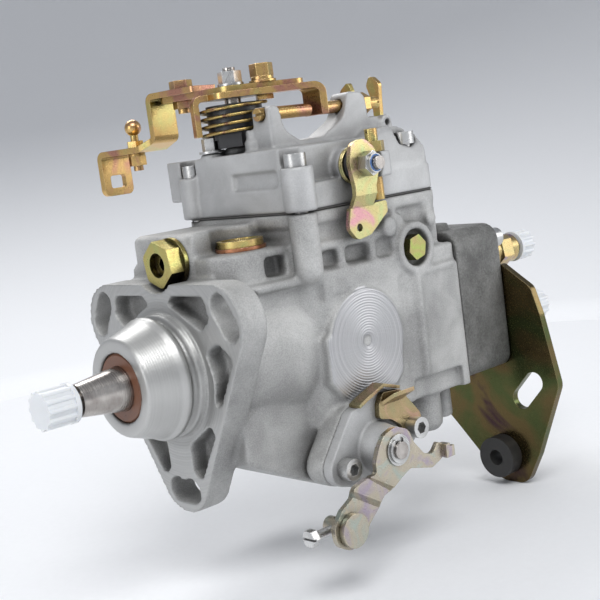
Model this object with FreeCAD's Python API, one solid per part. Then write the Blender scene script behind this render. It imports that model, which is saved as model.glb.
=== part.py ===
import FreeCAD, Part

import math
import os
from FreeCAD import Vector

# Rotary distributor injection pump, drawn in millimetres.
# X runs along the drive shaft, from the nose (minus) to the outlets (plus), and Z is up.
# The origin is on the shaft axis, in the plane of the mounting flange's front face.

# Clearances
running_fit = 0.04
seat_fit = 0.02
loose_fit = 0.30
joint_gap = 0.15

# Mounting flange and pilot hub
flange_thickness = 14.0
flange_lobe_reach = 46.5
flange_lobe_radius = 17.8
slot_pitch_radius = 54.0
slot_width = 11.0
slot_half_angle = 6.0
pocket_depth = 9.0
pilot_radius = 28.0
pilot_length = 10.0
pilot_groove_width = 3.5
pilot_groove_depth = 2.8
hub_front = -26.0
hub_front_radius = 22.0
hub_root_radius = 27.0

# Drive shaft
shaft_radius = 10.0
taper_start = -26.3
taper_end = -47.9
taper_end_radius = 7.15
neck_radius = 5.0
neck_length = 2.6
thread_radius = 6.0
thread_end = -63.0
key_width = 4.0
key_length = 10.0
key_centre = -37.0
key_outer = 10.3
key_depth = 5.0
cap_wall = 2.2
cap_front = -65.3
cap_ribs = 12
tongue_width = 12.0
tongue_end = 90.0
shaft_shoulder = 75.5

# Shaft seal and bush
seal_radius = 15.5
seal_width = 7.0
seal_recess = 0.6
bush_radius = 12.5

# Main bore and body
bore_radius = 35.2
bore_front = 22.0
body_rear = 151.5
body_half_width = 46.0
nose_body_radius = 41.0
body_top = 36.0
body_bottom = -37.0
side_block_front = 50.0

# Side pad
pad_x = 82.0
pad_radius = 24.5
pad_proud = 1.5
pad_dimple_radius = 5.0

# Governor housing, cover and their joint
parting_z = 63.6
gasket_thickness = 0.6
ledge_height = 6.0
cover_front = 51.8
cover_rear = 145.5
cover_near = -43.5
cover_far = 40.4
cover_step_z = 76.0
cover_top = 93.0
cover_rear_top = 96.5
cover_wall = 4.2
cover_roof = 5.0
lip_far = 51.5
shelf_near_z = 50.0
shelf_far_z = 61.0
shelf_front = 14.5

# Inlet plug and regulating valve
inlet_x = 37.0
inlet_y = -18.0
inlet_thread_radius = 7.0
valve_y = 1.0
valve_z = 49.0
valve_radius = 7.0

# Feed pump
feed_front = 22.05
feed_length = 16.0
feed_rotor_radius = 22.0
feed_eccentric = 2.4
feed_ring_bore = 24.8
feed_plate_thickness = 4.0
vane_thickness = 2.5
vane_root = 12.5

# Governor drive
gear_module = 1.5
drive_teeth = 40
governor_teeth = 32
gear_front = 56.5
gear_width = 6.5
axle_radius = 4.0
axle_front = 43.0
axle_rear = 100.0
cage_radius = 18.4
cage_wall = 2.2
cage_end = 84.0
sleeve_radius = 7.0
sleeve_front = 67.0
sleeve_end = 106.0
sleeve_tip = 113.0

# Roller ring, cam disc, timing piston
ring_front = 64.8
ring_rear = 81.0
ring_bore = 17.0
roller_count = 4
roller_radius = 6.0
roller_length = 10.0
roller_pitch_radius = 26.0
cam_lift = 2.5
cam_lobe_radius = 14.0
cam_radius = 32.0
cam_inner_radius = 19.0
cam_hub_radius = 14.0
cam_hub_front = 80.0
cam_thickness = 8.5
timing_x = 71.5
timing_z = -47.5
piston_radius = 10.5
piston_half_length = 30.0
piston_pocket = 14.0
timing_stroke = 7.0
timing_boss_radius = 19.5
timing_half_width = 48.0
advance_pin_radius = 2.0
advance_ball_radius = 3.0

# Distributor head, barrel, plunger, control collar
head_thickness = 34.5
head_half_width = 46.0
head_top = 40.6
head_bottom = -35.4
head_boss_radius = 40.5
spigot_length = 12.0
barrel_radius = 11.0
barrel_front = 133.0
plunger_radius = 6.0
plunger_collar_radius = 10.0
plunger_collar_length = 5.0
collar_centre = 122.4
collar_width = 10.0
collar_radius = 13.0
outlet_count = 4
outlet_radius = 25.1
outlet_first_angle = 126.0
holder_radius = 8.0
holder_hex = 17.0
holder_hex_start = 218.0
holder_hex_length = 9.0
holder_collar_end = 233.0
holder_thread_radius = 6.0
holder_thread_end = 245.0
outlet_cap_radius = 8.5
outlet_cap_start = 236.0
outlet_cap_end = 248.0

# Governor lever and its fulcrum
fulcrum_x = 122.4
fulcrum_z = 37.4
fulcrum_pin_radius = 3.0
fulcrum_collar_radius = 12.7
lever_ball_radius = 2.5
lever_ball_z = 9.8

# Throttle assembly
throttle_x = 69.0
throttle_y = 12.0
throttle_shaft_radius = 4.0
throttle_plate_z = 119.5
throttle_plate_thickness = 3.0
throttle_nut_hex = 10.0
spring_radius = 16.6
spring_wire = 1.6
spring_turns = 4
spring_bottom = 101.2
spring_top = 116.0
spring_start = -60.0
stop_plane_y = -14.0
ear_half_width = 6.5
front_ear_x = 62.5
front_ear_thickness = 7.0
rear_ear_x = 115.0
rear_ear_thickness = 11.0
ear_front_top = 113.0
ear_rear_top = 116.0
stop_screw_z = 109.5
stop_screw_radius = 3.0
hook_x = 97.0
hook_thickness = 3.0
hook_bottom = 106.5
strap_low_z = 103.4
strap_angle = 100.0
strap_upper_width = 17.5
strap_bolt_along = 32.5
ball_along = 70.5
ball_radius = 4.3
clamp_place = (82.5, 4.0)
strap_width = 20.4
strap_thickness = 3.0

# Stop lever
stop_x = 87.5
stop_z = 81.0
stop_shaft_radius = 4.0
stop_plate_y = -50.5
stop_sheet = 2.5
stop_joggle = 3.5
limit_x = 100.0
limit_y = -46.6
limit_top = 96.5
limit_lug_top = 85.6
limit_tip = 63.5

# Cold start device
cold_cover_thickness = 5.5
cold_boss_radius = 10.5
cold_boss_y = -63.9
cold_shaft_radius = 4.0
cold_shaft_end = -69.5
cold_plate_y = -64.2
cold_sheet = 2.6
cable_pin_x = 31.0
cable_pin_z = -70.6
cable_pin_radius = 3.0
cable_disc_radius = 7.4
cable_drop = 6.5

# Rear bracket
bracket_thickness = 4.0
bush_y = -34.5
bush_z = -85.8
bush_outer_radius = 11.0
bush_neck_radius = 7.5
bush_bore_radius = 4.2

# Fasteners
cap_head_radius = 5.0
cap_head_height = 6.0
screw_radius = 3.0

# Places that follow from the sizes above
feed_rear = feed_front + feed_length
gear_rear = gear_front + gear_width
drive_pitch_radius = gear_module * drive_teeth / 2
governor_pitch_radius = gear_module * governor_teeth / 2
governor_z = drive_pitch_radius + governor_pitch_radius
roller_x = ring_rear - 2.0
cam_peak_x = roller_x + roller_radius + joint_gap
cam_face_x = cam_peak_x + cam_lift
cam_rear_x = cam_face_x + cam_thickness
head_rear = body_rear + head_thickness
cover_base = parting_z + gasket_thickness
throttle_plate_top = throttle_plate_z + throttle_plate_thickness
timing_cover_y = -timing_half_width
plunger_end = head_rear - 12.0


def rod_x(radius, start, end, y=0.0, z=0.0):
    return Part.makeCylinder(radius, end - start, Vector(start, y, z), Vector(1, 0, 0))


def rod_y(radius, start, end, x=0.0, z=0.0):
    return Part.makeCylinder(radius, end - start, Vector(x, start, z), Vector(0, 1, 0))


def rod_z(radius, start, end, x=0.0, y=0.0):
    return Part.makeCylinder(radius, end - start, Vector(x, y, start), Vector(0, 0, 1))


def block(x0, x1, y0, y1, z0, z1):
    return Part.makeBox(x1 - x0, y1 - y0, z1 - z0, Vector(x0, y0, z0))


def joined(shapes):
    first = shapes[0]
    if len(shapes) > 1:
        first = first.fuse(shapes[1:])
    return first.removeSplitter()


def on_plane(axis, at, u, v):
    """A point of the plane normal to an axis: (y, z), (x, z) or (x, y) in that order."""
    if axis == "x":
        return Vector(at, u, v)
    if axis == "y":
        return Vector(u, at, v)
    return Vector(u, v, at)


def pushed(wire, axis, length):
    along = {"x": Vector(1, 0, 0), "y": Vector(0, 1, 0), "z": Vector(0, 0, 1)}[axis]
    return Part.Face(wire).extrude(along * length)


def rounded_wire(points, radius, axis, at):
    """A closed outline whose corners are rounded; a point may carry its own radius."""
    count = len(points)
    arcs = []
    for i in range(count):
        here = points[i]
        corner = Vector(here[0], here[1], 0)
        before = Vector(points[i - 1][0], points[i - 1][1], 0) - corner
        after = Vector(points[(i + 1) % count][0], points[(i + 1) % count][1], 0) - corner
        size = here[2] if len(here) > 2 else radius
        half = before.getAngle(after) / 2
        reach = size / math.tan(half) if size > 0 else 0.0
        reach = min(reach, 0.48 * before.Length, 0.48 * after.Length)
        size = reach * math.tan(half)
        before.normalize()
        after.normalize()
        first = corner + before * reach
        last = corner + after * reach
        if reach > 1e-6:
            inward = before + after
            inward.normalize()
            centre = corner + inward * (size / math.sin(half))
            middle = centre - inward * size
        else:
            middle = None
        arcs.append((first, middle, last))
    edges = []
    for i in range(count):
        first, middle, last = arcs[i]
        if middle is not None:
            edges.append(Part.Arc(on_plane(axis, at, first.x, first.y),
                                  on_plane(axis, at, middle.x, middle.y),
                                  on_plane(axis, at, last.x, last.y)).toShape())
        start = arcs[(i + 1) % count][0]
        if (start - last).Length > 1e-6:
            edges.append(Part.LineSegment(on_plane(axis, at, last.x, last.y),
                                          on_plane(axis, at, start.x, start.y)).toShape())
    return Part.Wire(edges)


def plate(points, radius, axis, start, thickness):
    return pushed(rounded_wire(points, radius, axis, start), axis, thickness)


def belt_wire(circles, axis, at):
    """The outline of a belt round circles (u, v, radius) given anticlockwise."""
    count = len(circles)
    normals = []
    for i in range(count):
        u0, v0, r0 = circles[i]
        u1, v1, r1 = circles[(i + 1) % count]
        heading = math.atan2(v1 - v0, u1 - u0)
        lean = math.acos((r0 - r1) / math.hypot(u1 - u0, v1 - v0))
        normals.append(heading - lean)
    edges = []
    for i in range(count):
        u, v, r = circles[i]
        come = normals[i - 1]
        leave = normals[i]
        while leave < come:
            leave += 2 * math.pi
        middle = (come + leave) / 2
        ends = [on_plane(axis, at, u + r * math.cos(a), v + r * math.sin(a)) for a in (come, middle, leave)]
        edges.append(Part.Arc(*ends).toShape())
        u1, v1, r1 = circles[(i + 1) % count]
        tangent = on_plane(axis, at, u1 + r1 * math.cos(leave), v1 + r1 * math.sin(leave))
        edges.append(Part.LineSegment(ends[2], tangent).toShape())
    return Part.Wire(edges)


def belt(circles, axis, start, thickness):
    return pushed(belt_wire(circles, axis, start), axis, thickness)


def turned_x(profile):
    """A solid of revolution about X from (x, radius) corners."""
    points = [Vector(x, 0, r) for x, r in profile]
    points.append(points[0])
    return Part.Face(Part.makePolygon(points)).revolve(Vector(0, 0, 0), Vector(1, 0, 0), 360)


def hex_bar(across_flats, start, length, axis, u, v, turn=0.0):
    """A hexagon bar whose corners are turned off at both ends."""
    corner = across_flats / math.sqrt(3)
    points = []
    for i in range(6):
        angle = math.radians(turn + 60 * i)
        points.append((u + corner * math.cos(angle), v + corner * math.sin(angle)))
    bar = plate(points, 0.0, axis, start, length)
    end_radius = corner * 0.94
    low = on_plane(axis, start, u, v)
    along = on_plane(axis, 1.0, 0.0, 0.0)
    cone_low = Part.makeCone(end_radius, end_radius + 2 * length, length, low, along)
    cone_high = Part.makeCone(end_radius + 2 * length, end_radius, length, low, along)
    return bar.common(cone_high.common(cone_low))


def cap_screw(head_at, shank, axis, u, v, sign, shank_radius=screw_radius):
    """A socket-head screw; sign is the way that its head points along the axis."""
    start = head_at if sign > 0 else head_at - cap_head_height
    low = on_plane(axis, start, u, v)
    along = on_plane(axis, 1.0, 0.0, 0.0)
    head = Part.makeCylinder(cap_head_radius, cap_head_height, low, along)
    socket_start = head_at + (cap_head_height / 2 if sign > 0 else -cap_head_height)
    socket = plate([(u + 2.9 * math.cos(math.radians(60 * i)), v + 2.9 * math.sin(math.radians(60 * i)))
                    for i in range(6)], 0.0, axis, socket_start, cap_head_height / 2)
    shank_start = head_at - shank if sign > 0 else head_at
    stem = Part.makeCylinder(shank_radius, shank, on_plane(axis, shank_start, u, v), along)
    return head.cut(socket).fuse(stem).removeSplitter()


def at_angle(radius, degrees):
    return radius * math.cos(math.radians(degrees)), radius * math.sin(math.radians(degrees))


def turned_about_z(shape, x, y, degrees):
    copy = shape.copy()
    copy.rotate(Vector(x, y, 0), Vector(0, 0, 1), degrees)
    return copy


# Places of the fasteners that two pieces share
cover_screw_places = [
    (55.0, -42.0, 84.0, parting_z - 22.0),
    (55.5, 34.0, 84.5, parting_z - 16.0),
    (133.0, -36.5, 87.0, parting_z - 16.0),
    (133.0, 33.5, 87.0, parting_z - 16.0),
]
cold_screw_places = [(50.1, -51.6), (93.2, -43.5)]
head_screw_places = [(-39.5, 32.0), (39.5, 32.0), (38.5, -28.0)]
bracket_screw_places = [(-40.5, 10.5), (-38.5, -28.5)]
bracket_boss_screw = (12.5, -35.2)
boss_screw_radius = 2.5
boss_screw_length = 14.0
timing_screw_places = [(52.5, -42.5), (90.5, -52.5)]


def flange():
    lobes = []
    for degrees in (-90, 30, 150):
        y, z = at_angle(flange_lobe_reach, degrees)
        lobes.append((y, z, flange_lobe_radius))
    body = belt(lobes, "x", 0.0, flange_thickness)
    for degrees in (-90, 30, 150):
        body = body.cut(arc_slot(degrees))
    notch = rod_x(15.0, -1.0, flange_thickness + 1.0, 0.0, 52.0)
    body = body.cut(notch)
    upper = [(11.4, 35.4), (7.0, 32.5), (29.2, 20.6), (35.6, 25.7), (33.6, 35.4)]
    side = [(39.6, 15.6), (30.8, 11.4), (34.4, -2.0), (31.8, -13.0), (36.6, -10.6), (48.0, 9.0)]
    lower = [(25.6, -21.5), (28.6, -25.0), (14.2, -47.4), (9.2, -44.6), (9.2, -31.7)]
    for points in (upper, side, lower):
        for sign in (1, -1):
            mirrored = [(sign * y, z) for y, z in points]
            body = body.cut(plate(mirrored, 2.6, "x", -1.0, pocket_depth + 1.0))
    return body


def arc_slot(degrees):
    inner = slot_pitch_radius - slot_width / 2
    outer = slot_pitch_radius + slot_width / 2
    low = degrees - slot_half_angle
    high = degrees + slot_half_angle
    ends = []
    for radius, angle in ((outer, low), (outer, degrees), (outer, high), (inner, high), (inner, degrees), (inner, low)):
        y, z = at_angle(radius, angle)
        ends.append(Vector(-1.0, y, z))
    edges = [
        Part.Arc(ends[0], ends[1], ends[2]).toShape(),
        Part.LineSegment(ends[2], ends[3]).toShape(),
        Part.Arc(ends[3], ends[4], ends[5]).toShape(),
        Part.LineSegment(ends[5], ends[0]).toShape(),
    ]
    length = flange_thickness + 2.0
    slot = Part.Face(Part.Wire(edges)).extrude(Vector(length, 0, 0))
    for angle in (low, high):
        y, z = at_angle(slot_pitch_radius, angle)
        slot = slot.fuse(rod_x(slot_width / 2, -1.0, length - 1.0, y, z))
    return slot.removeSplitter()


def hub():
    groove_rear = -pilot_groove_width
    groove_front = groove_rear - pilot_groove_width
    groove_radius = pilot_radius - pilot_groove_depth
    return turned_x([
        (hub_front, 0.0), (hub_front, hub_front_radius - 0.6), (hub_front + 0.6, hub_front_radius),
        (-pilot_length, hub_root_radius), (-pilot_length, pilot_radius), (groove_front, pilot_radius),
        (groove_front, groove_radius), (groove_rear, groove_radius), (groove_rear, pilot_radius),
        (1.0, pilot_radius), (1.0, 0.0),
    ])


def round_pillar(x, y, radius, bottom, top):
    return joined([rod_z(radius, bottom, top, x, y), Part.makeSphere(radius, Vector(x, y, bottom))])


def pump_housing():
    ledge_bottom = parting_z - ledge_height
    body = [
        flange(),
        hub(),
        turned_x([(flange_thickness - 1.0, 0.0), (flange_thickness - 1.0, 37.0), (side_block_front, nose_body_radius),
                  (60.0, nose_body_radius + 1.0), (60.0, 0.0)]),
        plate([(side_block_front, body_bottom, 6.0), (side_block_front, body_top, 6.0), (body_rear, body_top, 1.0),
               (body_rear, body_bottom, 1.0)], 4.0, "y", -body_half_width, 2 * body_half_width)
        .common(plate([(side_block_front - 4.0, 1.5 - body_half_width, 24.0), (side_block_front - 4.0, body_half_width - 1.5, 24.0),
                       (body_rear, body_half_width - 1.5, 0.0), (body_rear, 1.5 - body_half_width, 0.0)], 0.0,
                      "z", body_bottom, body_top - body_bottom)),
        plate([(118.0, body_bottom - 0.5, 8.0), (118.0, 26.0, 8.0), (body_rear, 26.0, 0.0),
               (body_rear, body_bottom - 0.5, 0.0)], 4.0, "y", -body_half_width, 2 * body_half_width),
        plate([(cover_front + 1.5, 30.0, 0.0), (cover_front + 1.5, ledge_bottom, 0.0), (cover_rear - 1.0, ledge_bottom, 0.0),
               (cover_rear - 1.0, 30.0, 0.0)], 0.0, "y", cover_near + 2.5, cover_far - cover_near - 5.0),
        plate([(cover_front, cover_near), (cover_front, cover_far), (cover_rear, cover_far), (cover_rear, cover_near)],
              6.0, "z", ledge_bottom, ledge_height),
        shelf(),
        timing_boss(),
        rod_y(fulcrum_collar_radius, -body_half_width - 0.8, body_half_width + 0.8, fulcrum_x, fulcrum_z)
        .cut(block(100, 150, cover_far + 3.5, 60, 10, 60)),
        rod_y(pad_radius, -body_half_width - pad_proud + 1.0, 0.0, pad_x, 0.0),
        rod_y(pad_radius, 0.0, body_half_width + pad_proud - 1.0, pad_x, 0.0),
        round_pillar(55.0, -42.0, 6.5, 38.0, parting_z),
        round_pillar(137.3, -39.0, 5.0, 47.0, parting_z),
        Part.makeSphere(5.5, Vector(105.9, -40.5, 49.8)),
        plate([(108.0, 20.0), (108.0, 54.0), (112.0, 56.0), (118.0, 54.0), (118.0, 20.0)], 1.5, "y",
              cover_near - 0.4, 10.0),
    ]
    body = joined(body)
    body = body.cut(joined(housing_hollows()))
    return body.removeSplitter()


def shelf():
    rear = cover_front + 4.0
    near = plate([(shelf_front, -12.0), (shelf_front, -24.0, 5.0), (26.0, -31.0, 6.0), (rear, -36.0),
                  (rear, -12.0)], 1.0, "z", 24.0, shelf_near_z - 24.0)
    far = plate([(shelf_front, 24.0), (shelf_front, shelf_far_z, 4.0), (rear, shelf_far_z), (rear, 24.0)],
                1.0, "y", -12.0, 46.0)
    far_low = plate([(shelf_front, 20.0), (shelf_front, 48.0, 6.0), (rear, 56.0), (rear, 20.0)],
                    1.0, "y", 30.0, 8.0)
    inlet_boss = rod_z(13.5, 30.0, shelf_near_z + 0.4, inlet_x, inlet_y)
    valve_boss = rod_x(11.5, flange_thickness - 1.0, 40.0, valve_y, valve_z)
    return joined([near, far, far_low, inlet_boss, valve_boss])


def timing_boss():
    """The cross bore's boss under the body, with the ribs that tie it to the flange and the rear."""
    barrel = rod_y(timing_boss_radius, -timing_half_width, timing_half_width, timing_x, timing_z)
    belly = plate([(flange_thickness - 2.0, -20.0), (flange_thickness - 2.0, -42.0, 4.0), (35.0, -54.0, 12.0),
                   (62.0, timing_z - timing_boss_radius, 8.0), (96.0, -60.0, 10.0), (112.0, -40.0, 10.0),
                   (112.0, -20.0)], 1.0, "y", -34.0, 68.0)
    lugs = belt([(50.1, -51.6, 8.6), (timing_x, timing_z - 2.0, 17.0), (93.2, -43.5, 8.6), (78.0, -31.0, 9.5),
                 (62.0, -34.0, 7.0)], "y", -timing_half_width, 12.0)
    far_lugs = belt([(52.5, -42.5, 8.6), (timing_x, timing_z - 2.0, 16.0), (90.5, -52.5, 8.6),
                     (timing_x, timing_z + 4.0, 14.0)], "y", timing_half_width - 12.0, 12.0)
    drain_boss = rod_z(9.0, -52.0, -20.0, 104.0, -26.0)
    return joined([barrel, belly, lugs, far_lugs, drain_boss])


def housing_hollows():
    """Everything that is bored, milled or cored out of the casting."""
    seal_rear = hub_front + seal_recess + seal_width
    cage_room = cage_radius + 1.6
    gear_room = governor_pitch_radius + 2.6
    hollows = [
        rod_x(seal_radius, hub_front - 1.0, seal_rear),
        rod_x(bush_radius, seal_rear - 1.0, bore_front + 1.0),
        rod_x(bore_radius, bore_front, body_rear + 1.0),
        block(cover_front + cover_wall, gear_rear + 1.2, -gear_room, gear_room, governor_z - gear_room, parting_z + 1),
        block(gear_rear, 92.0, -cage_room, cage_room, bore_radius - 0.8, parting_z + 1.0),
        block(90.0, 141.0, -32.0, 34.0, 28.0, parting_z + 1.0),
        rod_x(axle_radius + 1.0 + seat_fit, axle_front, cover_front + 8.0, 0.0, governor_z),
        rod_x(7.0, 0.0, 40.0, valve_y, valve_z),
        rod_z(7.0, 36.0, shelf_near_z + 2.0, inlet_x, inlet_y),
        rod_z(13.0, shelf_near_z + 0.4, shelf_far_z + 2.0, inlet_x, inlet_y),
        rod_y(piston_radius + running_fit, -timing_half_width - 1.0, timing_half_width + 1.0, timing_x, timing_z),
        block(timing_x - 3.6, timing_x + 3.6, -7.5, 11.5, timing_z, -bore_radius + 3.0),
        rod_y(9.0, -body_half_width - 2.0, -body_half_width + 4.5, fulcrum_x, fulcrum_z),
        rod_y(9.0, cover_far - 1.0, cover_far + 8.0, fulcrum_x, fulcrum_z),
        rod_y(5.0, -body_half_width, body_half_width, fulcrum_x, fulcrum_z),
        rod_y(pad_dimple_radius, -body_half_width - 2.0, -body_half_width + 0.8, pad_x, 0.0),
    ]
    for x, y, head, bottom in cover_screw_places:
        hollows.append(rod_z(screw_radius + seat_fit, bottom, parting_z + 1.0, x, y))
    for x, z in cold_screw_places:
        hollows.append(rod_y(screw_radius + seat_fit, -timing_half_width - 1.0, -timing_half_width + 10.0, x, z))
    for x, z in timing_screw_places:
        hollows.append(rod_y(screw_radius + seat_fit, timing_half_width - 10.0, timing_half_width + 1.0, x, z))
    for y, z in head_screw_places + bracket_screw_places:
        hollows.append(rod_x(screw_radius + seat_fit, body_rear - 12.0, body_rear + 1.0, y, z))
    return hollows


def shaft_seal():
    front = hub_front + seal_recess
    return turned_x([
        (front, shaft_radius + running_fit), (front, seal_radius - 0.9), (front + 0.9, seal_radius - seat_fit),
        (front + seal_width, seal_radius - seat_fit), (front + seal_width, shaft_radius + 3.0),
        (front + 2.4, shaft_radius + 3.0), (front + 2.4, shaft_radius + running_fit),
    ])


def shaft_bush():
    front = hub_front + seal_recess + seal_width + seat_fit
    outer = rod_x(bush_radius - seat_fit, front, bore_front)
    return outer.cut(rod_x(shaft_radius + running_fit, front - 1.0, bore_front + 1.0))


def taper_radius(x):
    share = (taper_start - x) / (taper_start - taper_end)
    return shaft_radius + (taper_end_radius - shaft_radius) * share


def key_block(clearance):
    half = key_width / 2 + clearance
    return block(key_centre - key_length / 2 - clearance, key_centre + key_length / 2 + clearance,
                 key_depth - clearance, key_outer, -half, half)


def drive_shaft():
    neck_rear = taper_end
    neck_front = taper_end - neck_length
    body = turned_x([
        (thread_end, 0.0), (thread_end, thread_radius - 1.0), (thread_end + 1.0, thread_radius),
        (neck_front, thread_radius), (neck_front, neck_radius), (neck_rear, neck_radius),
        (neck_rear, taper_end_radius), (taper_start, shaft_radius), (shaft_shoulder, shaft_radius),
        (shaft_shoulder, 0.0),
    ])
    tongue = rod_x(shaft_radius - 0.5, shaft_shoulder - 1.0, tongue_end)
    tongue = tongue.common(block(shaft_shoulder - 1.0, tongue_end, -tongue_width / 2, tongue_width / 2, -20, 20))
    return joined([body, tongue]).cut(key_block(seat_fit))


def shaft_key():
    return key_block(0.0)


def ribbed_cap(front, rear, bore, outer, ribs, y, z, wall, closed_at_front):
    """A push-on plastic cap with a crown of ribs, closed at one end."""
    body = rod_x(outer - 1.0, front, rear, y, z)
    inner_start = front + wall if closed_at_front else front - 1.0
    inner_end = rear + 1.0 if closed_at_front else rear - wall
    parts = [body]
    lip = 2.0
    rib_start = front if closed_at_front else front + lip
    rib_end = rear - lip if closed_at_front else rear
    for i in range(ribs):
        dy, dz = at_angle(outer - 1.3, 360.0 * i / ribs)
        parts.append(rod_x(1.2, rib_start, rib_end, y + dy, z + dz))
    lip_low = rear - lip if closed_at_front else front
    parts.append(rod_x(outer, lip_low, lip_low + lip, y, z))
    return joined(parts).cut(rod_x(bore, inner_start, inner_end, y, z))


def shaft_cap():
    rear = taper_end - neck_length + 0.2
    outer = thread_radius + cap_wall + 0.6
    return ribbed_cap(cap_front, rear, thread_radius + seat_fit, outer, cap_ribs, 0.0, 0.0,
                      thread_end - cap_front - 0.05, True)


def feed_pump_ring():
    outer = rod_x(bore_radius - seat_fit, feed_front, feed_rear)
    return outer.cut(rod_x(feed_ring_bore, feed_front - 1.0, feed_rear + 1.0, 0.0, feed_eccentric))


def feed_pump_rotor():
    body = rod_x(feed_rotor_radius, feed_front + 0.1, feed_rear - 0.1)
    body = body.cut(rod_x(shaft_radius + seat_fit, feed_front - 1.0, feed_rear + 1.0))
    for i in range(4):
        body = body.cut(vane(i, seat_fit, feed_rotor_radius + 2.0))
    tip = feed_ring_bore - feed_eccentric - 0.1
    return Part.makeCompound([body] + [vane(i, 0.0, tip) for i in range(4)])


def vane(i, clearance, tip):
    half = vane_thickness / 2 + clearance
    shape = block(feed_front + 0.1 - clearance * 6, feed_rear - 0.1 + clearance * 6, -half, half,
                  vane_root - clearance, tip)
    shape.rotate(Vector(0, 0, 0), Vector(1, 0, 0), 90 * i)
    return shape


def feed_pump_plate():
    body = rod_x(bore_radius - seat_fit, feed_rear, feed_rear + feed_plate_thickness)
    body = body.cut(rod_x(shaft_radius + 1.0, feed_rear - 1.0, feed_rear + feed_plate_thickness + 1.0))
    for degrees in (20, 200):
        y, z = at_angle(26.0, degrees)
        body = body.cut(rod_x(2.2, feed_rear - 1.0, feed_rear + feed_plate_thickness + 1.0, y, z))
    return body


def gear(teeth, width_start, width_end, first_angle):
    """A spur gear with straight flanks; angles are counted from +Y towards +Z."""
    pitch_angle = 360.0 / teeth
    pitch = gear_module * teeth / 2
    root = pitch - 1.15 * gear_module
    tip = pitch + 0.8 * gear_module
    points = []
    for i in range(teeth):
        centre = first_angle + i * pitch_angle
        for radius, share in ((root, -0.27), (tip, -0.11), (tip, 0.11), (root, 0.27)):
            y, z = at_angle(radius, centre + share * pitch_angle)
            points.append(Vector(width_start, y, z))
    points.append(points[0])
    return Part.Face(Part.makePolygon(points)).extrude(Vector(width_end - width_start, 0, 0))


def governor_drive_gear():
    body = gear(drive_teeth, gear_front, gear_rear, 90.0)
    body = body.cut(rod_x(shaft_radius + seat_fit, gear_front - 1.0, gear_rear + 1.0))
    for i in range(6):
        y, z = at_angle(20.0, 60 * i + 30)
        body = body.cut(rod_x(4.0, gear_front - 1.0, gear_rear + 1.0, y, z))
    return body


def governor_axle():
    body = rod_x(axle_radius, axle_front, axle_rear, 0.0, governor_z)
    shank = rod_x(axle_radius + 1.0, axle_front, cover_front + cover_wall, 0.0, governor_z)
    return joined([body, shank])


def flyweight_cage():
    wheel = gear(governor_teeth, gear_front, gear_rear, 270.0 + 180.0 / governor_teeth)
    wheel.translate(Vector(0, 0, governor_z))
    shell = rod_x(cage_radius, gear_rear - 0.1, cage_end, 0.0, governor_z)
    shell = shell.cut(rod_x(cage_radius - cage_wall, gear_rear + 1.5, cage_end + 1.0, 0.0, governor_z))
    for i in range(4):
        window = block(gear_rear + 3.0, cage_end - 3.0, 10.0, cage_radius + 2.0, -4.5, 4.5)
        window.rotate(Vector(0, 0, 0), Vector(1, 0, 0), 90 * i + 45)
        window.translate(Vector(0, 0, governor_z))
        shell = shell.cut(window)
    return joined([wheel, shell]).cut(rod_x(axle_radius + running_fit, gear_front - 1.0, cage_end, 0.0, governor_z))


def flyweights():
    """Four weights in the cage, each with a toe behind the sleeve's collar."""
    weights = []
    inner = sleeve_radius + 2.4
    outer = cage_radius - cage_wall - 0.05
    for i in range(4):
        ring = rod_x(outer, gear_rear + 1.5, cage_end - 2.0, 0.0, 0.0)
        ring = ring.cut(rod_x(inner, gear_rear, cage_end, 0.0, 0.0))
        keep = block(gear_rear, cage_end, 0.0, 30.0, -5.4, 5.4)
        weight = ring.common(keep)
        weight.rotate(Vector(0, 0, 0), Vector(1, 0, 0), 90 * i)
        weight.translate(Vector(0, 0, governor_z))
        weights.append(weight)
    return Part.makeCompound(weights)


def governor_sleeve():
    body = rod_x(sleeve_radius, sleeve_front, sleeve_end, 0.0, governor_z)
    flange_ring = rod_x(sleeve_radius + 2.0, sleeve_front, sleeve_front + 2.5, 0.0, governor_z)
    nose_radius = 4.0
    nose = rod_x(nose_radius, sleeve_end - 1.0, sleeve_tip - nose_radius, 0.0, governor_z)
    tip = Part.makeSphere(nose_radius, Vector(sleeve_tip - nose_radius, 0.0, governor_z))
    whole = joined([body, flange_ring, nose, tip])
    return whole.cut(rod_x(axle_radius + running_fit, sleeve_front - 1.0, sleeve_end - 1.0, 0.0, governor_z))


def governor_lever():
    face = sleeve_tip + running_fit
    upper = plate([(face, fulcrum_z + 2.0), (face, governor_z + 7.0), (face + 4.0, governor_z + 7.0),
                   (fulcrum_x + 3.0, fulcrum_z + 4.0), (fulcrum_x + 3.0, fulcrum_z - 4.0),
                   (fulcrum_x - 3.0, fulcrum_z - 4.0)], 0.8, "y", -9.0, 18.0)
    tube = rod_y(5.5, -29.0, 29.0, fulcrum_x, fulcrum_z)
    arm = rod_z(1.8, lever_ball_z, fulcrum_z - 3.0, collar_centre, 0.0)
    ball = Part.makeSphere(lever_ball_radius, Vector(collar_centre, 0.0, lever_ball_z))
    body = joined([upper, tube, arm, ball])
    for start in (-30.0, 22.0):
        body = body.cut(rod_y(fulcrum_pin_radius + running_fit, start, start + 8.0, fulcrum_x, fulcrum_z))
    return body


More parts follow.
